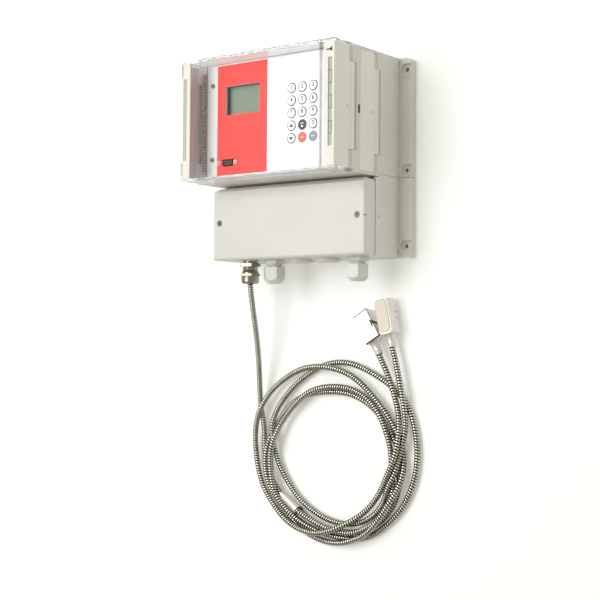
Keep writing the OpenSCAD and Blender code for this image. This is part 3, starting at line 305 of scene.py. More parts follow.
def hose(name, line):
    """An interlocked hose: a tube whose wall is one helical rib. The attribute rib is 1 on its crown."""
    centre = spline(line, RIB_PITCH / RIB_RINGS)
    first, second = across(centre)
    turn = np.arange(HOSE_SIDES) * 2 * math.pi / HOSE_SIDES
    phase = np.arange(len(centre))[:, None] / RIB_RINGS + turn[None] / (2 * math.pi)
    wave = np.clip((np.abs(np.sin(math.pi * phase)) - RIB_GROOVE) / RIB_SLOPE, 0, 1)
    rib = wave * wave * (3 - 2 * wave)
    radius = HOSE_D / 2 - RIB_DEPTH * (1 - rib)
    ring = first[:, None] * np.cos(turn)[None, :, None] + second[:, None] * np.sin(turn)[None, :, None]
    verts = (centre[:, None] + ring * radius[..., None]).reshape(-1, 3)
    faces = ring_faces(len(centre), HOSE_SIDES) + end_faces(len(centre), HOSE_SIDES)
    piece = mesh_object(name, verts, faces)
    crown = piece.data.attributes.new("rib", "FLOAT", "POINT")
    crown.data.foreach_set("value", rib.reshape(-1).astype(np.float32))
    path = spline(line, PATH_STEP)
    length = float(np.linalg.norm(np.diff(path, axis=0), axis=1).sum())
    return piece, path * MM, length * MM


main_hose, main_path, main_length = hose("main_hose", main_line)
right_hose, right_path, right_length = hose("right_hose", right_line)
left_hose, left_path, left_length = hose("left_hose", left_line)
for piece in (main_hose, right_hose, left_hose):
    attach(piece, "housing")
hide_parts("main_conduit", "conduit_coil")
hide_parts("branch_conduit_right")
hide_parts("branch_conduit_left")


# Tools for the looks
def linear(r, g, b):
    """Linear colour of a screen colour given in 0 to 255."""
    return tuple((c / 255 / 12.92) if c <= 10 else ((c / 255 + 0.055) / 1.055) ** 2.4 for c in (r, g, b))


def opaque(colour):
    """The four numbers that a colour socket takes for a screen colour."""
    return (*linear(*colour), 1)


def colour_socket(sockets, name):
    """The colour socket of a name, which a mix node has beside others of that name."""
    return next(s for s in sockets if s.type == "RGBA" and s.name == name)


class Nodes:
    """A node tree, with short ways to add nodes and to join them."""

    def __init__(self, tree):
        self.tree = tree

    def add(self, kind, **values):
        node = self.tree.nodes.new(kind)
        for name, value in values.items():
            setattr(node, name, value)
        return node

    def link(self, output, socket):
        self.tree.links.new(output, socket)

    def feed(self, socket, value):
        """Links another node's output to a socket, or gives it a value."""
        if isinstance(value, bpy.types.NodeSocket):
            self.link(value, socket)
        else:
            socket.default_value = value

    def maths(self, operation, first, second=0.0):
        """The result of a maths node, each of whose values is a number or an output."""
        node = self.add("ShaderNodeMath", operation=operation)
        self.feed(node.inputs[0], first)
        self.feed(node.inputs[1], second)
        return node.outputs["Value"]

    def mixed(self, share, below, above):
        """One colour over another, each an output or four numbers, by a share."""
        node = self.add("ShaderNodeMix", data_type="RGBA")
        self.link(share, node.inputs["Factor"])
        self.feed(colour_socket(node.inputs, "A"), below)
        self.feed(colour_socket(node.inputs, "B"), above)
        return colour_socket(node.outputs, "Result")

    def spread(self, value, low, high, to_low=0, to_high=1):
        """The value with low to high spread over to_low to to_high."""
        node = self.add("ShaderNodeMapRange")
        ends = {"From Min": low, "From Max": high, "To Min": to_low, "To Max": to_high}
        for name, end in ends.items():
            node.inputs[name].default_value = end
        self.link(value, node.inputs["Value"])
        return node.outputs["Result"]


class Look(Nodes):
    """A material: one Principled shader, whose colour, roughness and bump come from nodes."""

    def __init__(self, name, colour, rough, metallic=0.0, **sockets):
        self.material = bpy.data.materials.new(name)
        self.material.use_nodes = True
        super().__init__(self.material.node_tree)
        self.shader = self.tree.nodes["Principled BSDF"]
        self.place = self.add("ShaderNodeTexCoord").outputs["Object"]
        self.colour = opaque(colour)
        values = {"Base Color": self.colour, "Roughness": rough, "Metallic": metallic, **sockets}
        for socket, value in values.items():
            self.shader.inputs[socket.replace("_", " ")].default_value = value

    def at(self, stretch=(1, 1, 1), turn=(0, 0, 0)):
        """The place on the object, turned and then stretched."""
        if stretch == (1, 1, 1) and turn == (0, 0, 0):
            return self.place
        node = self.add("ShaderNodeMapping", vector_type="POINT")
        node.inputs["Rotation"].default_value = [math.radians(t) for t in turn]
        node.inputs["Scale"].default_value = stretch
        self.link(self.place, node.inputs["Vector"])
        return node.outputs["Vector"]

    def texture(self, kind, scale, place=None, **values):
        """A texture node at a scale, laid over the object."""
        node = self.add(kind, **values)
        node.inputs["Scale"].default_value = scale
        self.link(place or self.place, node.inputs["Vector"])
        return node

    def noise(self, scale, detail=2.0, stretch=(1, 1, 1), turn=(0, 0, 0)):
        node = self.texture("ShaderNodeTexNoise", scale, self.at(stretch, turn))
        node.inputs["Detail"].default_value = detail
        return node.outputs["Fac"]

    def bricks(self, scale, mortar, wide, high, **values):
        """A pattern of bricks on faces that look to the front: 1 between the bricks."""
        node = self.texture("ShaderNodeTexBrick", scale, self.at(turn=(90, 0, 0)), **values)
        for name, size in {"Mortar Size": mortar, "Brick Width": wide, "Row Height": high}.items():
            node.inputs[name].default_value = size
        return node.outputs["Fac"]

    def attribute(self, name):
        """What a mesh's own attribute says."""
        return self.add("ShaderNodeAttribute", attribute_name=name).outputs["Fac"]

    def paint(self, value, colour, share=1.0):
        """Lays a colour over what the base has, where value is 1."""
        if share != 1.0:
            value = self.spread(value, 0, 1, 0, share)
        self.colour = self.mixed(value, self.colour, opaque(colour))
        self.link(self.colour, self.shader.inputs["Base Color"])

    def rough(self, value, low, high):
        """Roughness between low and high, by the middle range of a noise."""
        self.link(self.spread(value, 0.3, 0.7, low, high), self.shader.inputs["Roughness"])

    def bump(self, value, strength, depth):
        """Bumps of the given depth in millimetres."""
        node = self.add("ShaderNodeBump")
        node.inputs["Strength"].default_value = strength
        node.inputs["Distance"].default_value = depth * MM
        self.link(value, node.inputs["Height"])
        self.link(node.outputs["Normal"], self.shader.inputs["Normal"])

    def surface(self, share, below, above):
        """The material's surface: one shader over another, by a share."""
        mix = self.add("ShaderNodeMixShader")
        self.link(share, mix.inputs["Fac"])
        self.link(below, mix.inputs[1])
        self.link(above, mix.inputs[2])
        self.link(mix.outputs["Shader"], self.tree.nodes["Material Output"].inputs["Surface"])

    def lets_lamps_through(self, colour):
        """Clear plastic: rays from lamps pass it, tinted."""
        clear = self.add("ShaderNodeBsdfTransparent")
        clear.inputs["Color"].default_value = opaque(colour)
        from_lamp = self.add("ShaderNodeLightPath").outputs["Is Shadow Ray"]
        self.surface(from_lamp, self.shader.outputs["BSDF"], clear.outputs["BSDF"])


def darker(colour, share):
    """The colour with each part times a share."""
    return tuple(c * share for c in colour)


def moulded(name, colour, rough=0.45, grain=0.03, **sockets):
    """Moulded plastic: slow drifts of its colour and gloss, and a fine eroded grain."""
    look = Look(name, colour, rough, **sockets)
    look.paint(look.spread(look.noise(9, 3), 0.35, 0.65), darker(colour, 0.93), 0.35)
    look.paint(look.spread(look.noise(260, 2), 0.62, 0.78), darker(colour, 0.8), 0.25)
    look.rough(look.noise(24, 2), rough - 0.05, rough + 0.07)
    look.bump(look.noise(1900, 3), 0.35, grain)
    return look


def printed(name, colour, rough=0.38):
    """Printed foil: even ink with a faint orange-peel gloss."""
    look = Look(name, colour, rough, Specular_IOR_Level=0.25)
    faded = tuple(min(255, c * 0.96 + 6) for c in colour)
    look.paint(look.spread(look.noise(30, 2), 0.4, 0.7), faded, 0.5)
    look.rough(look.noise(60, 2), rough - 0.06, rough + 0.08)
    look.bump(look.noise(420, 2), 0.12, 0.02)
    return look


def metal(name, colour, rough, streak=(1, 1, 1), turn=(0, 0, 0), dull=0.5, bare=1.0):
    """Bare metal: fine streaks along one direction, and dull patches."""
    look = Look(name, colour, rough, bare)
    lines = look.noise(900, 2, streak, turn)
    look.paint(look.spread(look.noise(70, 3), 0.45, 0.75), darker(colour, 0.72), dull)
    look.paint(look.spread(lines, 0.5, 0.8), darker(colour, 0.8), 0.8 * dull)
    look.rough(lines, rough - 0.06, rough + 0.1)
    look.bump(lines, 0.2, 0.02)
    return look


# Looks
def stainless_look():
    """Ground steel of the transducers and the ferrule, with painted shade where a mesh attribute marks a
    block's cut edge.
    """
    look = metal("stainless", (238, 233, 230), 0.33, (1, 1, 0.06), (0, 20, 0), 0.12, 0.5)
    # Painted shade: the cut front edge of a block drawn dark, for its dark reflection
    look.paint(look.attribute("chamfer_shade"), (46, 43, 38), 0.95)
    return look


def hose_look():
    """Bright hose with dull patches, and painted shade between its ribs."""
    look = Look("hose", (224, 220, 211), 0.22, 1.0, Specular_Tint=(0.3, 0.3, 0.3, 1))
    look.paint(look.spread(look.noise(140, 3), 0.5, 0.75), (150, 145, 135), 0.4)
    # Painted shade: the grooves between the ribs drawn near black
    look.paint(look.spread(look.attribute("rib"), 0.72, 0.2), (12, 11, 9))
    look.rough(look.noise(500, 2), 0.16, 0.28)
    look.bump(look.noise(1500, 2), 0.15, 0.02)
    return look


def board_look():
    """A circuit board with paler tracks and dots."""
    look = Look("board", (24, 92, 58), 0.35)
    tracks = look.bricks(160, 0.022, 0.9, 0.32, offset=0.37, squash=1.6)
    look.paint(tracks, (70, 150, 100), 0.8)
    dots = look.texture("ShaderNodeTexVoronoi", 190)
    look.paint(look.spread(dots.outputs["Distance"], 0.16, 0.1), (205, 200, 150))
    look.rough(look.noise(80, 2), 0.3, 0.42)
    return look


# The grey line in the clear cover beside the latch strip, and how softly a paint ends
STEP_X, STEP_HALF = 94.2, 1.4
PAINT_EDGE = 0.3


def beyond(look, value, middle, half):
    """1 where a coordinate is further than half from the middle, in millimetres."""
    away = look.maths("ABSOLUTE", look.maths("SUBTRACT", value, middle * MM))
    return look.spread(away, (half - PAINT_EDGE) * MM, (half + PAINT_EDGE) * MM)


def clear_look():
    """The clear cover: painted shade at flat angles of view, and greyer in its four side walls and along
    one line.
    """
    look = Look("clear", (247, 248, 248), 0.02, IOR=1.03, Transmission_Weight=1.0,
                Coat_Weight=0.5, Coat_Roughness=0.02)
    # Painted shade: greyer where the cover is seen at a flat angle
    flatness = look.add("ShaderNodeLayerWeight").outputs["Facing"]
    look.paint(look.spread(flatness, 0.6, 0.95), (176, 168, 174), 0.85)
    look.rough(look.noise(180, 3), 0.008, 0.024)
    place = look.add("ShaderNodeSeparateXYZ")
    look.link(look.place, place.inputs["Vector"])
    x, z = place.outputs["X"], place.outputs["Z"]
    at_sides = beyond(look, x, 0, IN_HALF)
    at_ends = beyond(look, z, (Z_TOP + Z_DOOR) / 2, (Z_TOP - Z_DOOR) / 2 - CLEAR_T)
    look.paint(look.maths("MAXIMUM", at_sides, at_ends), (190, 180, 186), 0.4)
    look.paint(look.maths("SUBTRACT", 1.0, beyond(look, x, STEP_X, STEP_HALF)), (146, 142, 145))
    look.lets_lamps_through((240, 242, 243))
    return look


def pane_look():
    """The clear pane over the display."""
    look = Look("pane", (238, 243, 240), 0.02, IOR=1.22, Transmission_Weight=1.0)
    look.bump(look.noise(90, 2), 0.04, 0.02)
    look.lets_lamps_through((232, 238, 234))
    return look


def lcd_look():
    """The display: a faint raster on its front, and painted shade on the faces where it doesn't look to
    the front.
    """
    look = Look("lcd", (142, 146, 130), 0.4)
    raster = look.bricks(1000, 0.06, 0.45, 0.45, offset=0.0, squash=1.0)
    look.paint(raster, (130, 135, 118), 0.5)
    # Painted shade: faces that don't look to the front drawn dark
    facing = look.add("ShaderNodeSeparateXYZ")
    look.link(look.add("ShaderNodeTexCoord").outputs["Normal"], facing.inputs["Vector"])
    look.paint(look.spread(facing.outputs["Y"], -0.7, -0.5), (70, 74, 68))
    look.rough(look.noise(60, 2), 0.35, 0.45)
    return look


def comb_look():
    """The toothed rails: a painted reflection of the red foil, a reddish tint with darker bands along
    their height.
    """
    # Painted reflection: the rails take the colour of the red foil seen in the clear wall
    look = moulded("comb", (234, 200, 196), 0.45)
    bands = look.texture("ShaderNodeTexWave", 95, bands_direction="Z")
    look.paint(look.spread(bands.outputs["Fac"], 0.55, 0.75), (124, 62, 66), 0.6)
    return look


looks = {
    "housing": moulded("housing", (230, 228, 224), 0.42),
    "strip": moulded("strip", (247, 245, 240), 0.38),
    "gland": moulded("gland", (228, 229, 225), 0.3, 0.02, Subsurface_Weight=0.25,
                     Subsurface_Scale=0.004),
    "seal": moulded("seal", (178, 178, 172), 0.7, 0.06),
    "insert": moulded("insert", (54, 54, 57), 0.7, 0.05),
    "black": moulded("black", (34, 34, 37), 0.42),
    "parts": moulded("parts", (58, 58, 64), 0.4),
    "clamp": moulded("clamp", (66, 128, 92), 0.4),
    "key": moulded("key", (246, 246, 244), 0.32, 0.01),
    "keydark": moulded("keydark", (48, 48, 52), 0.34, 0.01),
    "keyred": moulded("keyred", (250, 78, 72), 0.34, 0.01),
    "keygrey": moulded("keygrey", (124, 130, 134), 0.34, 0.01),
    "pad": moulded("pad", (240, 231, 219), 0.5),
    "red": printed("red", (250, 59, 53)),
    "white": printed("white", (244, 244, 240)),
    "steel": metal("steel", (205, 205, 200), 0.3),
    "nickel": metal("nickel", (166, 159, 147), 0.24, dull=0.35),
    "stainless": stainless_look(),
    "screw": metal("screw", (128, 125, 118), 0.42, dull=0.6),
    "brass": metal("brass", (196, 156, 104), 0.3),
    "coil": metal("coil", (205, 200, 190), 0.3),
    "panel": moulded("panel", (206, 203, 199), 0.45),
    # Painted shade: the grey of the grip slot's cells and of the recess floor
    "shade": moulded("shade", (196, 199, 188), 0.5),
    "comb": comb_look(),
    "connector": moulded("connector", (15, 15, 16), 0.6, Specular_IOR_Level=0.12),
    "rim": moulded("rim", (150, 142, 112), 0.6),
    "hose": hose_look(),
    "board": board_look(),
    "clear": clear_look(),
    "pane": pane_look(),
    "lcd": lcd_look(),
}
# Nodes whose look isn't the one of their slot
OWN_LOOKS = {
    "panel_plate": "panel",
    "side_combs": "comb",
    "splitter_ferrule": "stainless",
    "terminal_cover_screws": "screw",
    "panel_screws": "screw",
    "service_connector": "connector",
}

for name, node in nodes.items():
    for slot in node.material_slots:
        look = OWN_LOOKS.get(name) or slot.material.name.split(".")[0]
        slot.material = looks[look].material
for piece in (main_hose, right_hose, left_hose):
    piece.data.materials.append(looks["hose"].material)


# Softened edges
# Points closer than this are joined, and edges of more than these degrees are rounded
JOIN_WITHIN = 0.01
SHARP_FROM = 40


def soften(names, width, segments=2):
    """Joins the faces of CAD nodes at their edges and rounds the sharp ones."""
    for name in names:
        join = nodes[name].modifiers.new("join", "WELD")
        join.merge_threshold = JOIN_WITHIN * MM
        edge = nodes[name].modifiers.new("edges", "BEVEL")
        edge.width = width * MM
        edge.segments = segments
        edge.limit_method = "ANGLE"
        edge.angle_limit = math.radians(SHARP_FROM)
        edge.harden_normals = True


soften(["base_upper", "base_lower", "door_frame", "terminal_cover"], 0.5)
soften(["door_latch_strip", "door_hinge_strip", "cover_latch_strip", "cover_hinge_strip"], 0.35)
soften(["cable_gland_bodies", "conduit_gland_body", "conduit_gland_cap"], 0.3)


# Tools for small pieces
# The radius that stays open in the middle of a disc, and how deep a print is sunk in its ground
HUB = 0.05
SUNK = 0.02


def dress(piece, body, slot, look=None):
    """A piece that rides on a body and has a slot's look, or another one."""
    piece.data.materials.append(looks[look or slot].material)
    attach(piece, body)
    return piece


def rectangle(x0, x1, z0, z1):
    """Outline of a rectangle, anticlockwise."""
    return [(x0, z0), (x1, z0), (x1, z1), (x0, z1)]


def moved(outline, x, z):
    """The outline with its origin at a point."""
    return [(x + dx, z + dz) for dx, dz in outline]


def disc(radius, front, back):
    """Profile of a flat disc, for turned()."""
    return [(HUB, front), (radius, front), (radius, back), (HUB, back)]


def turned(name, at, front, profile, body, slot, sides=40, look=None):
    """A closed ring about the Y axis through a point, from its radii and their depths behind a front."""
    x, z = at
    angle = np.arange(sides) * 2 * math.pi / sides
    verts = [(x + r * math.cos(a), front + y, z + r * math.sin(a)) for a in angle for r, y in profile]
    faces = ring_faces(sides, len(profile), closed=True)
    return dress(mesh_object(name, verts, faces), body, slot, look)


def slab_faces(rows, columns):
    """Faces of a closed body through rows of points, each row an outline."""
    return [face[::-1] for face in end_faces(rows, columns) + ring_faces(rows, columns)]


def plate(name, outline, y, thick, body, slot, look=None):
    """A flat print: an outline in X and Z, raised from the plane y by its thickness."""
    verts = [(x, depth, z) for depth in (y + SUNK, y - thick) for x, z in outline]
    return dress(mesh_object(name, verts, slab_faces(2, len(outline)), smooth=False), body, slot, look)


def shell(name, start, axis, sections, slot, sides=40):
    """A closed skin round an axis, from the way along it, half depth and half width of its sections."""
    axis = np.array(axis, float) / np.linalg.norm(axis)
    side, depth = np.cross(axis, (0.0, 1.0, 0.0)), np.array((0, 1, 0))
    verts = []
    for way, deep, wide in sections:
        for a in 2 * math.pi * np.arange(sides) / sides:
            point = np.array(start) + way * axis + side * wide * math.cos(a)
            verts.append(point + depth * deep * math.sin(a))
    faces = ring_faces(len(sections), sides, closed=True)
    return dress(mesh_object(name, verts, faces), "housing", slot)


# Keys
# A ring round each white one, as radius and depth, and the prints on their fronts
KEY_RING = [(5.0, -0.03), (5.6, -0.03), (5.9, 0.09), (6.06, 0.25), (6.13, 0.5), (5.95, 0.5), (5.0, 0.05)]
KEY_BAR = rectangle(-1.5, 1.5, -3.6, -3.1)
KEY_MARK = rectangle(-2.2, 2.2, -0.35, 0.35)
KEY_ARROW = [(-3.3, -1.6), (3.3, -1.6), (2.8, -0.4), (0, 2.4), (-2.8, -0.4)]
PRINT = 0.03
DIGIT_HIGH, DIGIT_UP, DIGIT_BOLD = 7.0, 0.8, 0.2
DOT_R, DOT_DOWN, ENTER_MARK_UP = 1.3, 1.9, 1.6

key_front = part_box("key_5")[0][1] / MM


def middle(name):
    """X and Z of a node's middle."""
    lo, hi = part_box(name)
    return (lo[0] + hi[0]) / 2 / MM, (lo[2] + hi[2]) / 2 / MM


def digit(key, text):
    """A digit printed on a key."""
    name = key + "_digit"
    curve = bpy.data.curves.new(name, "FONT")
    curve.body = text
    curve.size = DIGIT_HIGH * MM
    curve.align_x = "CENTER"
    curve.align_y = "CENTER"
    curve.extrude = PRINT * MM
    curve.offset = DIGIT_BOLD * MM
    curve.resolution_u = 4
    shape = bpy.data.objects.new(name, curve)
    mesh = bpy.data.meshes.new_from_object(shape)
    x, z = middle(key)
    place = Matrix.Translation((x * MM, key_front * MM, (z + DIGIT_UP) * MM))
    mesh.transform(place @ Matrix.Rotation(math.radians(90), 4, "X"))
    bpy.data.objects.remove(shape)
    piece = bpy.data.objects.new(name, mesh)
    scene.collection.objects.link(piece)
    dress(piece, key + "_body", "black")


WHITE_KEYS = [f"key_{d}" for d in range(10)] + ["key_up", "key_down"]
for key in WHITE_KEYS:
    turned(key + "_ring", middle(key), key_front, KEY_RING, key + "_body", "parts")
    text = key.removeprefix("key_")
    if text.isdigit():
        digit(key, text)
        plate(key + "_bar", moved(KEY_BAR, *middle(key)), key_front, PRINT, key + "_body", "parts")
for key, up in (("key_up", 1), ("key_down", -1)):
    arrow = [(x, z * up) for x, z in KEY_ARROW][::up]
    plate(key + "_arrow", moved(arrow, *middle(key)), key_front, PRINT, key + "_body", "parts")
x, z = middle("key_enter")
turned("key_enter_dot", (x, z - DOT_DOWN), key_front, disc(DOT_R, -PRINT, PRINT),
       "key_enter_body", "white", 24)
for key, lift in (("key_enter", ENTER_MARK_UP), ("key_clear", 0), ("key_menu", 0)):
    x, z = middle(key)
    plate(key + "_mark", moved(KEY_MARK, x, z + lift), key_front, PRINT, key + "_body", "white")


# Pins of the service connector
PIN = [(HUB, -0.04), (0.55, -0.04), (0.6, 0.05), (HUB, 0.05)]
PIN_PITCH = 2.76
PIN_ROWS = (("a", 1.4, 5), ("b", -1.4, 4))

x, z = middle("service_connector")
pin_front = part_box("service_connector")[0][1] / MM
for row, up, count in PIN_ROWS:
    for i in range(count):
        at = (x + (i - (count - 1) / 2) * PIN_PITCH, z + up)
        turned(f"connector_pin_{row}{i + 1}", at, pin_front, PIN, "door", "nickel", 16, "brass")


# Painted shade for the threaded holes in the two hexagon screws beside it, each this far in from its
# screw's outer side
HOLE_IN = 2.6
THREAD_SHADE = disc(1.15, -0.03, 0.3)

lo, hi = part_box("connector_screws")
_, z = middle("connector_screws")
for side, x in (("left", lo[0] / MM + HOLE_IN), ("right", hi[0] / MM - HOLE_IN)):
    turned(f"connector_screw_hole_shade_{side}", (x, z), lo[1] / MM, THREAD_SHADE, "door", "black", 20)


# Flared boot round the end of the ferrule and the start of both branch hoses
BOOT = [
    (-1.6, 5.45, 5.45), (-1.3, 5.9, 5.8), (0.3, 6.1, 5.9), (1.6, 7.2, 5.2), (2.2, 7.6, 4.7),
    (2.0, 7.1, 4.1), (0.2, 5.45, 5.3)]

ferrule_axis = np.array(FERRULE_B, float) - np.array(FERRULE_A, float)
shell("splitter_boot", FERRULE_B, ferrule_axis, BOOT, "black")


# Transducers
# Each one's frame starts where its sleeve meets its block, and goes across, deep and along
# the block, tilted about the depth. The block's left, right and length are in that frame,
# and its front and back are in the part's frame.
Sensor = namedtuple("Sensor", "side at tilt left right length front back")
RIGHT = Sensor("right", (102, -12, -209), 12.5, -7.6, 10.2, 42.6, -23, -3)
LEFT = Sensor("left", (79.5, -12, -219.5), 31, -5.0, 16.8, 38.6, -23, -2.5)

# The block's corner radii at its front and back, and how far its front edge is cut
RIGHT_RADII, RIGHT_CUT = (4.2, 2.4), 0.5
LEFT_RADII, LEFT_CUT = (0.7, 4.2), 1.5
# A cut starts and ends with a narrow step, so that it shades as an edge
EASE = 0.05
# The back edge's steps as depth and inset, and the share of an inset that the sides take
BACK_EDGE, SIDE_SHARE = ((-0.5, 0), (-0.15, 0.2), (0, 0.5)), 0.3
# The pad's steps as depth and inset, on the front of the right block and the back of the left
PAD_ON_FRONT = ((-0.35, 0.25), (-0.25, 0), (0.3, 0))
PAD_ON_BACK = ((-0.3, 0), (0.25, 0), (0.35, 0.25))
# Margins round the pad and the seam about it, on the left, the right and at both ends
PAD_MARGINS, PAD_R = (0.9, 1.8, 3.0, 1.6), 4.4
RIM_MARGINS, RIM_R, RIM_DEPTH = (0.4, 1.1, 2.5, 1.1), 4.9, (-11.06, -10.7)
# The sleeve's way down from the block, and its radius there
SLEEVE = [
    (-0.5, 5.6), (0.4, 5.6), (0.8, 5.2), (9.0, 4.9), (12.4, 4.8), (12.6, 5.1), (15.2, 5.1),
    (15.5, 4.8), (15.5, 3.9), (-0.5, 3.9)]
# The painted shade of a cut edge reaches this far at its ends, and this share is left between
CUT_END, CUT_SHARE = 2, 0.3


def rounded_rect(x0, x1, z0, z1, r, corner=6):
    """Outline of a rectangle with rounded corners, anticlockwise."""
    corners = ((x1 - r, z0 + r, -90), (x1 - r, z1 - r, 0), (x0 + r, z1 - r, 90), (x0 + r, z0 + r, 180))
    outline = []
    for x, z, start in corners:
        for k in range(corner + 1):
            t = math.radians(start + 90 * k / corner)
            outline.append((x + r * math.cos(t), z + r * math.sin(t)))
    return outline


def tilted(sensor, points):
    """Points across, deep and along in a sensor's frame, in the part's frame."""
    at = sensor.at
    c, s = math.cos(math.radians(sensor.tilt)), math.sin(math.radians(sensor.tilt))
    return [(at[0] + x * c - z * s, at[1] + y, at[2] + x * s + z * c) for x, y, z in points]


def lofted(name, sensor, sections, slot, look=None):
    """A closed body through outlines of equal count, each at its own depth, front first."""
    verts = tilted(sensor, [(x, y, z) for y, outline in sections for x, z in outline])
    faces = slab_faces(len(sections), len(sections[0][1]))
    return dress(mesh_object(name, verts, faces, smooth=False), "housing", slot, look)


def block_sections(sensor, radii, cut):
    """A block's outlines: a cut front edge, corners that change their radius, a rounded back edge."""
    front, back = sensor.front, sensor.back
    first, last = radii
    steps = [(front, first, cut), (front + EASE, first, cut - EASE),
             (front + cut - EASE, first, EASE), (front + cut, first, 0)]
    for t in (0.25, 0.5, 0.75):
        blend = 3 * t * t - 2 * t ** 3
        steps.append((front + (back - front) * t, first + (last - first) * blend, 0))
    steps += [(back + depth, last, inset) for depth, inset in BACK_EDGE]
    sections = []
    for y, r, inset in steps:
        left, right = sensor.left + SIDE_SHARE * inset, sensor.right - SIDE_SHARE * inset
        sections.append((y - sensor.at[1], rounded_rect(left, right, inset, sensor.length - inset, r)))
    return sections


def block(sensor, radii, cut, shaded_cut):
    """A transducer's block. A mesh attribute is 1 where its cut edge is painted dark as shade."""
    sections = block_sections(sensor, radii, cut)
    piece = lofted(f"sensor_block_{sensor.side}", sensor, sections, "stainless")
    dark = np.zeros(len(piece.data.vertices), np.float32)
    # Painted shade on the cut edge: full near its ends, a share of it between
    if shaded_cut:
        n = len(sections[0][1])
        along = np.array([z for _, outline in sections[1:3] for _, z in outline])
        at_end = (along < CUT_END) | (along > sensor.length - CUT_END)
        dark[n:3 * n] = np.where(at_end, 1, CUT_SHARE)
    piece.data.attributes.new("chamfer_shade", "FLOAT", "POINT").data.foreach_set("value", dark)
    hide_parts(f"transducer_{sensor.side}")
    return piece


def within(sensor, margins, r, inset=0):
    """A rounded outline within a block's face, by its margins."""
    left, right, start, end = margins
    return rounded_rect(sensor.left + left + inset, sensor.right - right - inset,
                        start + inset, sensor.length - end - inset, r)


def pad(sensor, face, steps):
    """The pad on a block's front or back face."""
    sections = [(face + depth - sensor.at[1], within(sensor, PAD_MARGINS, PAD_R, inset))
                for depth, inset in steps]
    return lofted(f"sensor_pad_{sensor.side}", sensor, sections, "pad")


def sleeve(sensor):
    """The sleeve that a branch hose enters."""
    tilt = math.radians(sensor.tilt)
    down = (math.sin(tilt), 0, -math.cos(tilt))
    sections = [(way, radius, radius) for way, radius in SLEEVE]
    return shell(f"sensor_sleeve_{sensor.side}", sensor.at, down, sections, "stainless")


# How deep the painted shade inside an opening goes, and how far it stands out of its face
INLAY_SHADE_DEEP, SENSOR_PROUD, HOUSING_PROUD = 0.6, 0.03, 0.04


def stadium(y, z, wide, high, count=24):
    """Outline in Y and Z of an opening with round ends."""
    outline = []
    for a in np.linspace(0, 2 * math.pi, count, endpoint=False):
        end = (high - wide) / 2 * np.sign(math.sin(a) + 1e-9)
        outline.append((y + wide / 2 * math.cos(a), z + end + wide / 2 * math.sin(a)))
    return outline


def shade_inlay(name, x, proud, outline, body, sensor=None):
    """Painted shade: a dark piece for the inside of an opening in a face that looks to the right."""
    verts = [(x + d, y, z) for d in (-INLAY_SHADE_DEEP, proud) for y, z in outline]
    faces = end_faces(2, len(outline)) + ring_faces(2, len(outline))
    verts = tilted(sensor, verts) if sensor else verts
    return dress(mesh_object(name, verts, faces, smooth=False), body, "black")


right_end = [
    block(RIGHT, RIGHT_RADII, RIGHT_CUT, False),
    pad(RIGHT, RIGHT.front, PAD_ON_FRONT),
    sleeve(RIGHT)]
left_end = [
    block(LEFT, LEFT_RADII, LEFT_CUT, True),
    pad(LEFT, LEFT.back, PAD_ON_BACK),
    sleeve(LEFT)]
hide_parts("coupling_pads")

# Two small holes in the right block's side, drawn as painted shade
HOLE_D, HOLE_Y, HOLE_ALONG = 1.8, -7.5, (17.5, 25.5)

for k, z in enumerate(HOLE_ALONG):
    outline = stadium(HOLE_Y - RIGHT.at[1], z, HOLE_D, HOLE_D, 20)
    name = f"sensor_hole_shade_{k + 1}"
    right_end.append(shade_inlay(name, RIGHT.right, SENSOR_PROUD, outline, "housing", RIGHT))

# Painted shade of the slot in the left block, on its front and round its edge on its side
SLOT_FRONT = [
    (13.5, 14.6), (14.7, 13.6), (15.9, 17.6), (16.65, 17.8), (16.65, 21.8), (13.6, 24.4), (13.9, 20.0)]
SLOT_FRONT_DEPTH = (-11.05, -10.4)
SLOT_SIDE = rectangle(16.2, 16.85, 0, 3.9)
SLOT_SIDE_AT = ((-11.0, 17.8), (-1.5, 15.5))

front_of_slot = [(y, SLOT_FRONT) for y in SLOT_FRONT_DEPTH]
side_of_slot = [(y, moved(SLOT_SIDE, 0, z)) for y, z in SLOT_SIDE_AT]
left_end.append(lofted("sensor_slot_shade_left", LEFT, front_of_slot, "black"))
left_end.append(lofted("sensor_slot_shade_side", LEFT, side_of_slot, "black"))

# The seam round the right block's pad
seam = [(y, within(RIGHT, RIM_MARGINS, RIM_R)) for y in RIM_DEPTH]
right_end.append(lofted("sensor_rim_right", RIGHT, seam, "seal", "rim"))


# Grip slot and recess
# Cells of the grip slot in the latch strip in a colour of painted shade, with dark plates of painted
# shade beside the narrow ones, and the floor of the recess in the other strip, also in painted shade
SLOT_X, SLOT_W = 8.5, 5.8
TONGUE, CELLS = 99.0, 7
CELL = TONGUE / CELLS
NARROW_CELL, GAP_SHADE_FROM = 0.8, 0.82
CELL_EDGE, CELL_DEEP, CELL_THICK, GAP_SHADE_THICK = 0.3, 3.2, 1.6, 2.5
FLOOR_SHIFT, FLOOR_EDGE, FLOOR_DEEP, FLOOR_THICK = 0.6, 0.4, 3.6, 0.3
slot_left = HALF_W - SLOT_X


def cell(name, i, x0, x1, thick, look):
    """One cell of the grip slot, counted from below."""
    z = Z_MID - TONGUE / 2 + i * CELL
    outline = rectangle(x0, x1, z + CELL_EDGE, z + CELL - CELL_EDGE)
    plate(name, outline, Y_COVER + CELL_DEEP, thick, "cover_latch", "strip", look)


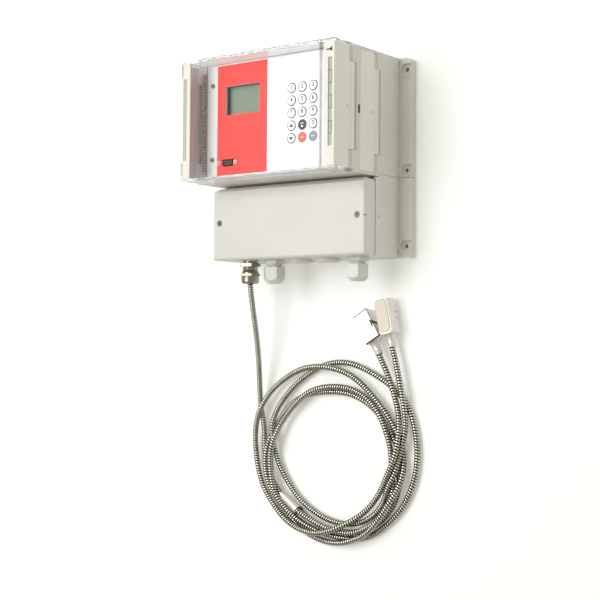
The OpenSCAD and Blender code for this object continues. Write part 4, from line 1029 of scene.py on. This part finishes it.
# Painted shade: the slot's cells, and dark plates for the shaded floor beside the narrow ones
for i in range(CELLS):
    share = NARROW_CELL if i % 2 else 1
    cell(f"slot_cell_shade_{i + 1}", i, slot_left, slot_left + SLOT_W * share, CELL_THICK, "shade")
for i in range(1, CELLS, 2):
    cell(f"slot_gap_shade_{i}", i, slot_left + SLOT_W * GAP_SHADE_FROM, slot_left + SLOT_W, GAP_SHADE_THICK, "parts")
# Painted shade: the floor of the recess
floor = rectangle(-HALF_W + FLOOR_SHIFT, -HALF_W + SLOT_X + FLOOR_SHIFT,
                  Z_MID - TONGUE / 2 + FLOOR_EDGE, Z_MID + TONGUE / 2 - FLOOR_EDGE)
plate("recess_floor_shade", floor, Y_COVER + FLOOR_DEEP, FLOOR_THICK, "cover", "strip", "shade")


# Openings in the right side, drawn as painted shade: Y, Z, width, height and body
SIDE_OPENINGS = {
    "side_hole_shade_cover": (-120.3, 46.2, 1.7, 1.7, "cover_latch"),
    "side_hole_shade_door": (-69.6, 46.2, 1.7, 1.7, "door_latch"),
    "side_hole_shade_terminal": (-82.6, -73.4, 1.9, 1.9, "housing"),
    "side_hole_shade_base": (-55.3, -73.1, 1.7, 1.7, "housing"),
    "side_slit_shade_door": (-97.0, 46.0, 4.0, 10.5, "door"),
}

for name, (y, z, wide, high, body) in SIDE_OPENINGS.items():
    shade_inlay(name, HALF_W, HOUSING_PROUD, stadium(y, z, wide, high), body)


# Painted shade: dark discs at the bottoms of the holes for the wall bolts
BOLT_X, BOLT_ROWS = 122.0, (105.0, -15.0, -105.0)
BOLT_HOLE_SHADE = disc(2.45, -1.4, -0.6)

for i, (x, z) in enumerate((x, z) for z in BOLT_ROWS for x in (-BOLT_X, BOLT_X)):
    turned(f"bolt_hole_shade_{i + 1}", (x, z), 0, BOLT_HOLE_SHADE, "housing", "black", 24)


# The opening mark on the latch strip: an arrow near its top
OPENING_ARROW = [(-10.8, -1.1), (-6.6, -1.1), (-2.9, -3.0), (-2.9, 3.2), (-5.6, 0.6), (-10.8, 0.2)]
ARROW_DOWN, ARROW_DEEP, ARROW_THICK = 12.2, 0.9, 0.6

arrow = moved(OPENING_ARROW, HALF_W, Z_TOP - ARROW_DOWN)
plate("opening_mark", arrow, Y_COVER + ARROW_DEEP, ARROW_THICK, "cover_latch", "black")


# Wall and light
# Lengths are in metres here. Rays shorter than WALL_NEAR pass the wall.
WALL_Y, WALL_HALF_WIDE, WALL_HALF_HIGH, WALL_NEAR = 0.002, 3, 2, 0.004
WALL_COLOUR, WALL_GLOW, WALL_LIFT = (247, 248, 250), (1, 0.995, 0.98, 1), 0.2
# The lamp's turn to the right and its rise in degrees, its distance from its aim, and the aim
LAMP_TURN, LAMP_RISE, LAMP_AWAY, LAMP_AIM = -14, 10, 2.7, (0, 0, -0.15)
LAMP_SIZE, LAMP_POWER, LAMP_COLOUR = (1.55, 2.0), 41, (0.975, 0.99, 1)
# The sky's colour as a light and where it is seen, the direction of its brightest part, and
# its strength, which goes from low to high between the edges about that direction
SKY_COLOUR, SKY_SEEN = (1.0, 0.985, 0.82, 1), (1, 1, 1, 1)
SKY_TOP, SKY_EDGE, SKY_LOW, SKY_HIGH = (-0.3, -0.1, 0.95), 0.9, 0.36, 0.62


def wall_material():
    """White paint that glows a little where it is seen. Rays from behind or from close by pass it."""
    look = Look("wall_paint", WALL_COLOUR, 0.9)
    look.bump(look.noise(300, 2), 0.05, 0.05)
    path = look.add("ShaderNodeLightPath")
    seen = look.maths("MAXIMUM", path.outputs["Is Camera Ray"], path.outputs["Is Transmission Ray"])
    seen = look.maths("MAXIMUM", seen, path.outputs["Is Glossy Ray"])
    glow = look.add("ShaderNodeEmission")
    glow.inputs["Color"].default_value = WALL_GLOW
    look.link(look.spread(seen, 0, 1, 0, WALL_LIFT), glow.inputs["Strength"])
    lit = look.add("ShaderNodeAddShader")
    look.link(look.shader.outputs["BSDF"], lit.inputs[0])
    look.link(glow.outputs["Emission"], lit.inputs[1])
    near = look.maths("LESS_THAN", path.outputs["Ray Length"], WALL_NEAR)
    gone = look.maths("MAXIMUM", look.add("ShaderNodeNewGeometry").outputs["Backfacing"], near)
    clear = look.add("ShaderNodeBsdfTransparent")
    look.surface(gone, lit.outputs["Shader"], clear.outputs["BSDF"])
    return look.material


def make_wall():
    """The wall that the part hangs on."""
    mesh = bpy.data.meshes.new("wall")
    outline = rectangle(-WALL_HALF_WIDE, WALL_HALF_WIDE, -WALL_HALF_HIGH, WALL_HALF_HIGH)
    mesh.from_pydata([(x, WALL_Y, z) for x, z in outline], [], [(0, 1, 2, 3)])
    wall = bpy.data.objects.new("wall", mesh)
    scene.collection.objects.link(wall)
    wall.data.materials.append(wall_material())


def make_lamp():
    """A soft lamp in front of the object, a little to its left and above it."""
    data = bpy.data.lights.new("key", "AREA")
    data.shape = "RECTANGLE"
    data.size, data.size_y = LAMP_SIZE
    data.energy = LAMP_POWER
    data.color = LAMP_COLOUR
    turn, rise = math.radians(LAMP_TURN), math.radians(LAMP_RISE)
    away = Vector((math.sin(turn) * math.cos(rise), -math.cos(turn) * math.cos(rise), math.sin(rise)))
    lamp = bpy.data.objects.new("key", data)
    lamp.location = Vector(LAMP_AIM) + away * LAMP_AWAY
    lamp.rotation_euler = (-away).to_track_quat("-Z", "Y").to_euler()
    scene.collection.objects.link(lamp)


def make_sky():
    """A pale sky, brighter above. It is white where it is seen, also through the clear cover."""
    world = bpy.data.worlds.new("world")
    scene.world = world
    world.use_nodes = True
    sky = Nodes(world.node_tree)
    background = sky.tree.nodes["Background"]
    path = sky.add("ShaderNodeLightPath")
    seen = sky.maths("MAXIMUM", path.outputs["Is Camera Ray"], path.outputs["Is Transmission Ray"])
    sky.link(sky.mixed(seen, SKY_COLOUR, SKY_SEEN), background.inputs["Color"])
    height = sky.add("ShaderNodeVectorMath", operation="DOT_PRODUCT")
    sky.link(sky.add("ShaderNodeTexCoord").outputs["Generated"], height.inputs[0])
    height.inputs[1].default_value = Vector(SKY_TOP).normalized()
    strength = sky.add("ShaderNodeMix", data_type="FLOAT")
    sky.link(seen, strength.inputs["Factor"])
    glow = sky.spread(height.outputs["Value"], -SKY_EDGE, SKY_EDGE, SKY_LOW, SKY_HIGH)
    sky.link(glow, strength.inputs["A"])
    strength.inputs["B"].default_value = 1.0
    sky.link(strength.outputs["Result"], background.inputs["Strength"])


make_wall()
make_lamp()
make_sky()

scene.view_settings.view_transform = "Standard"
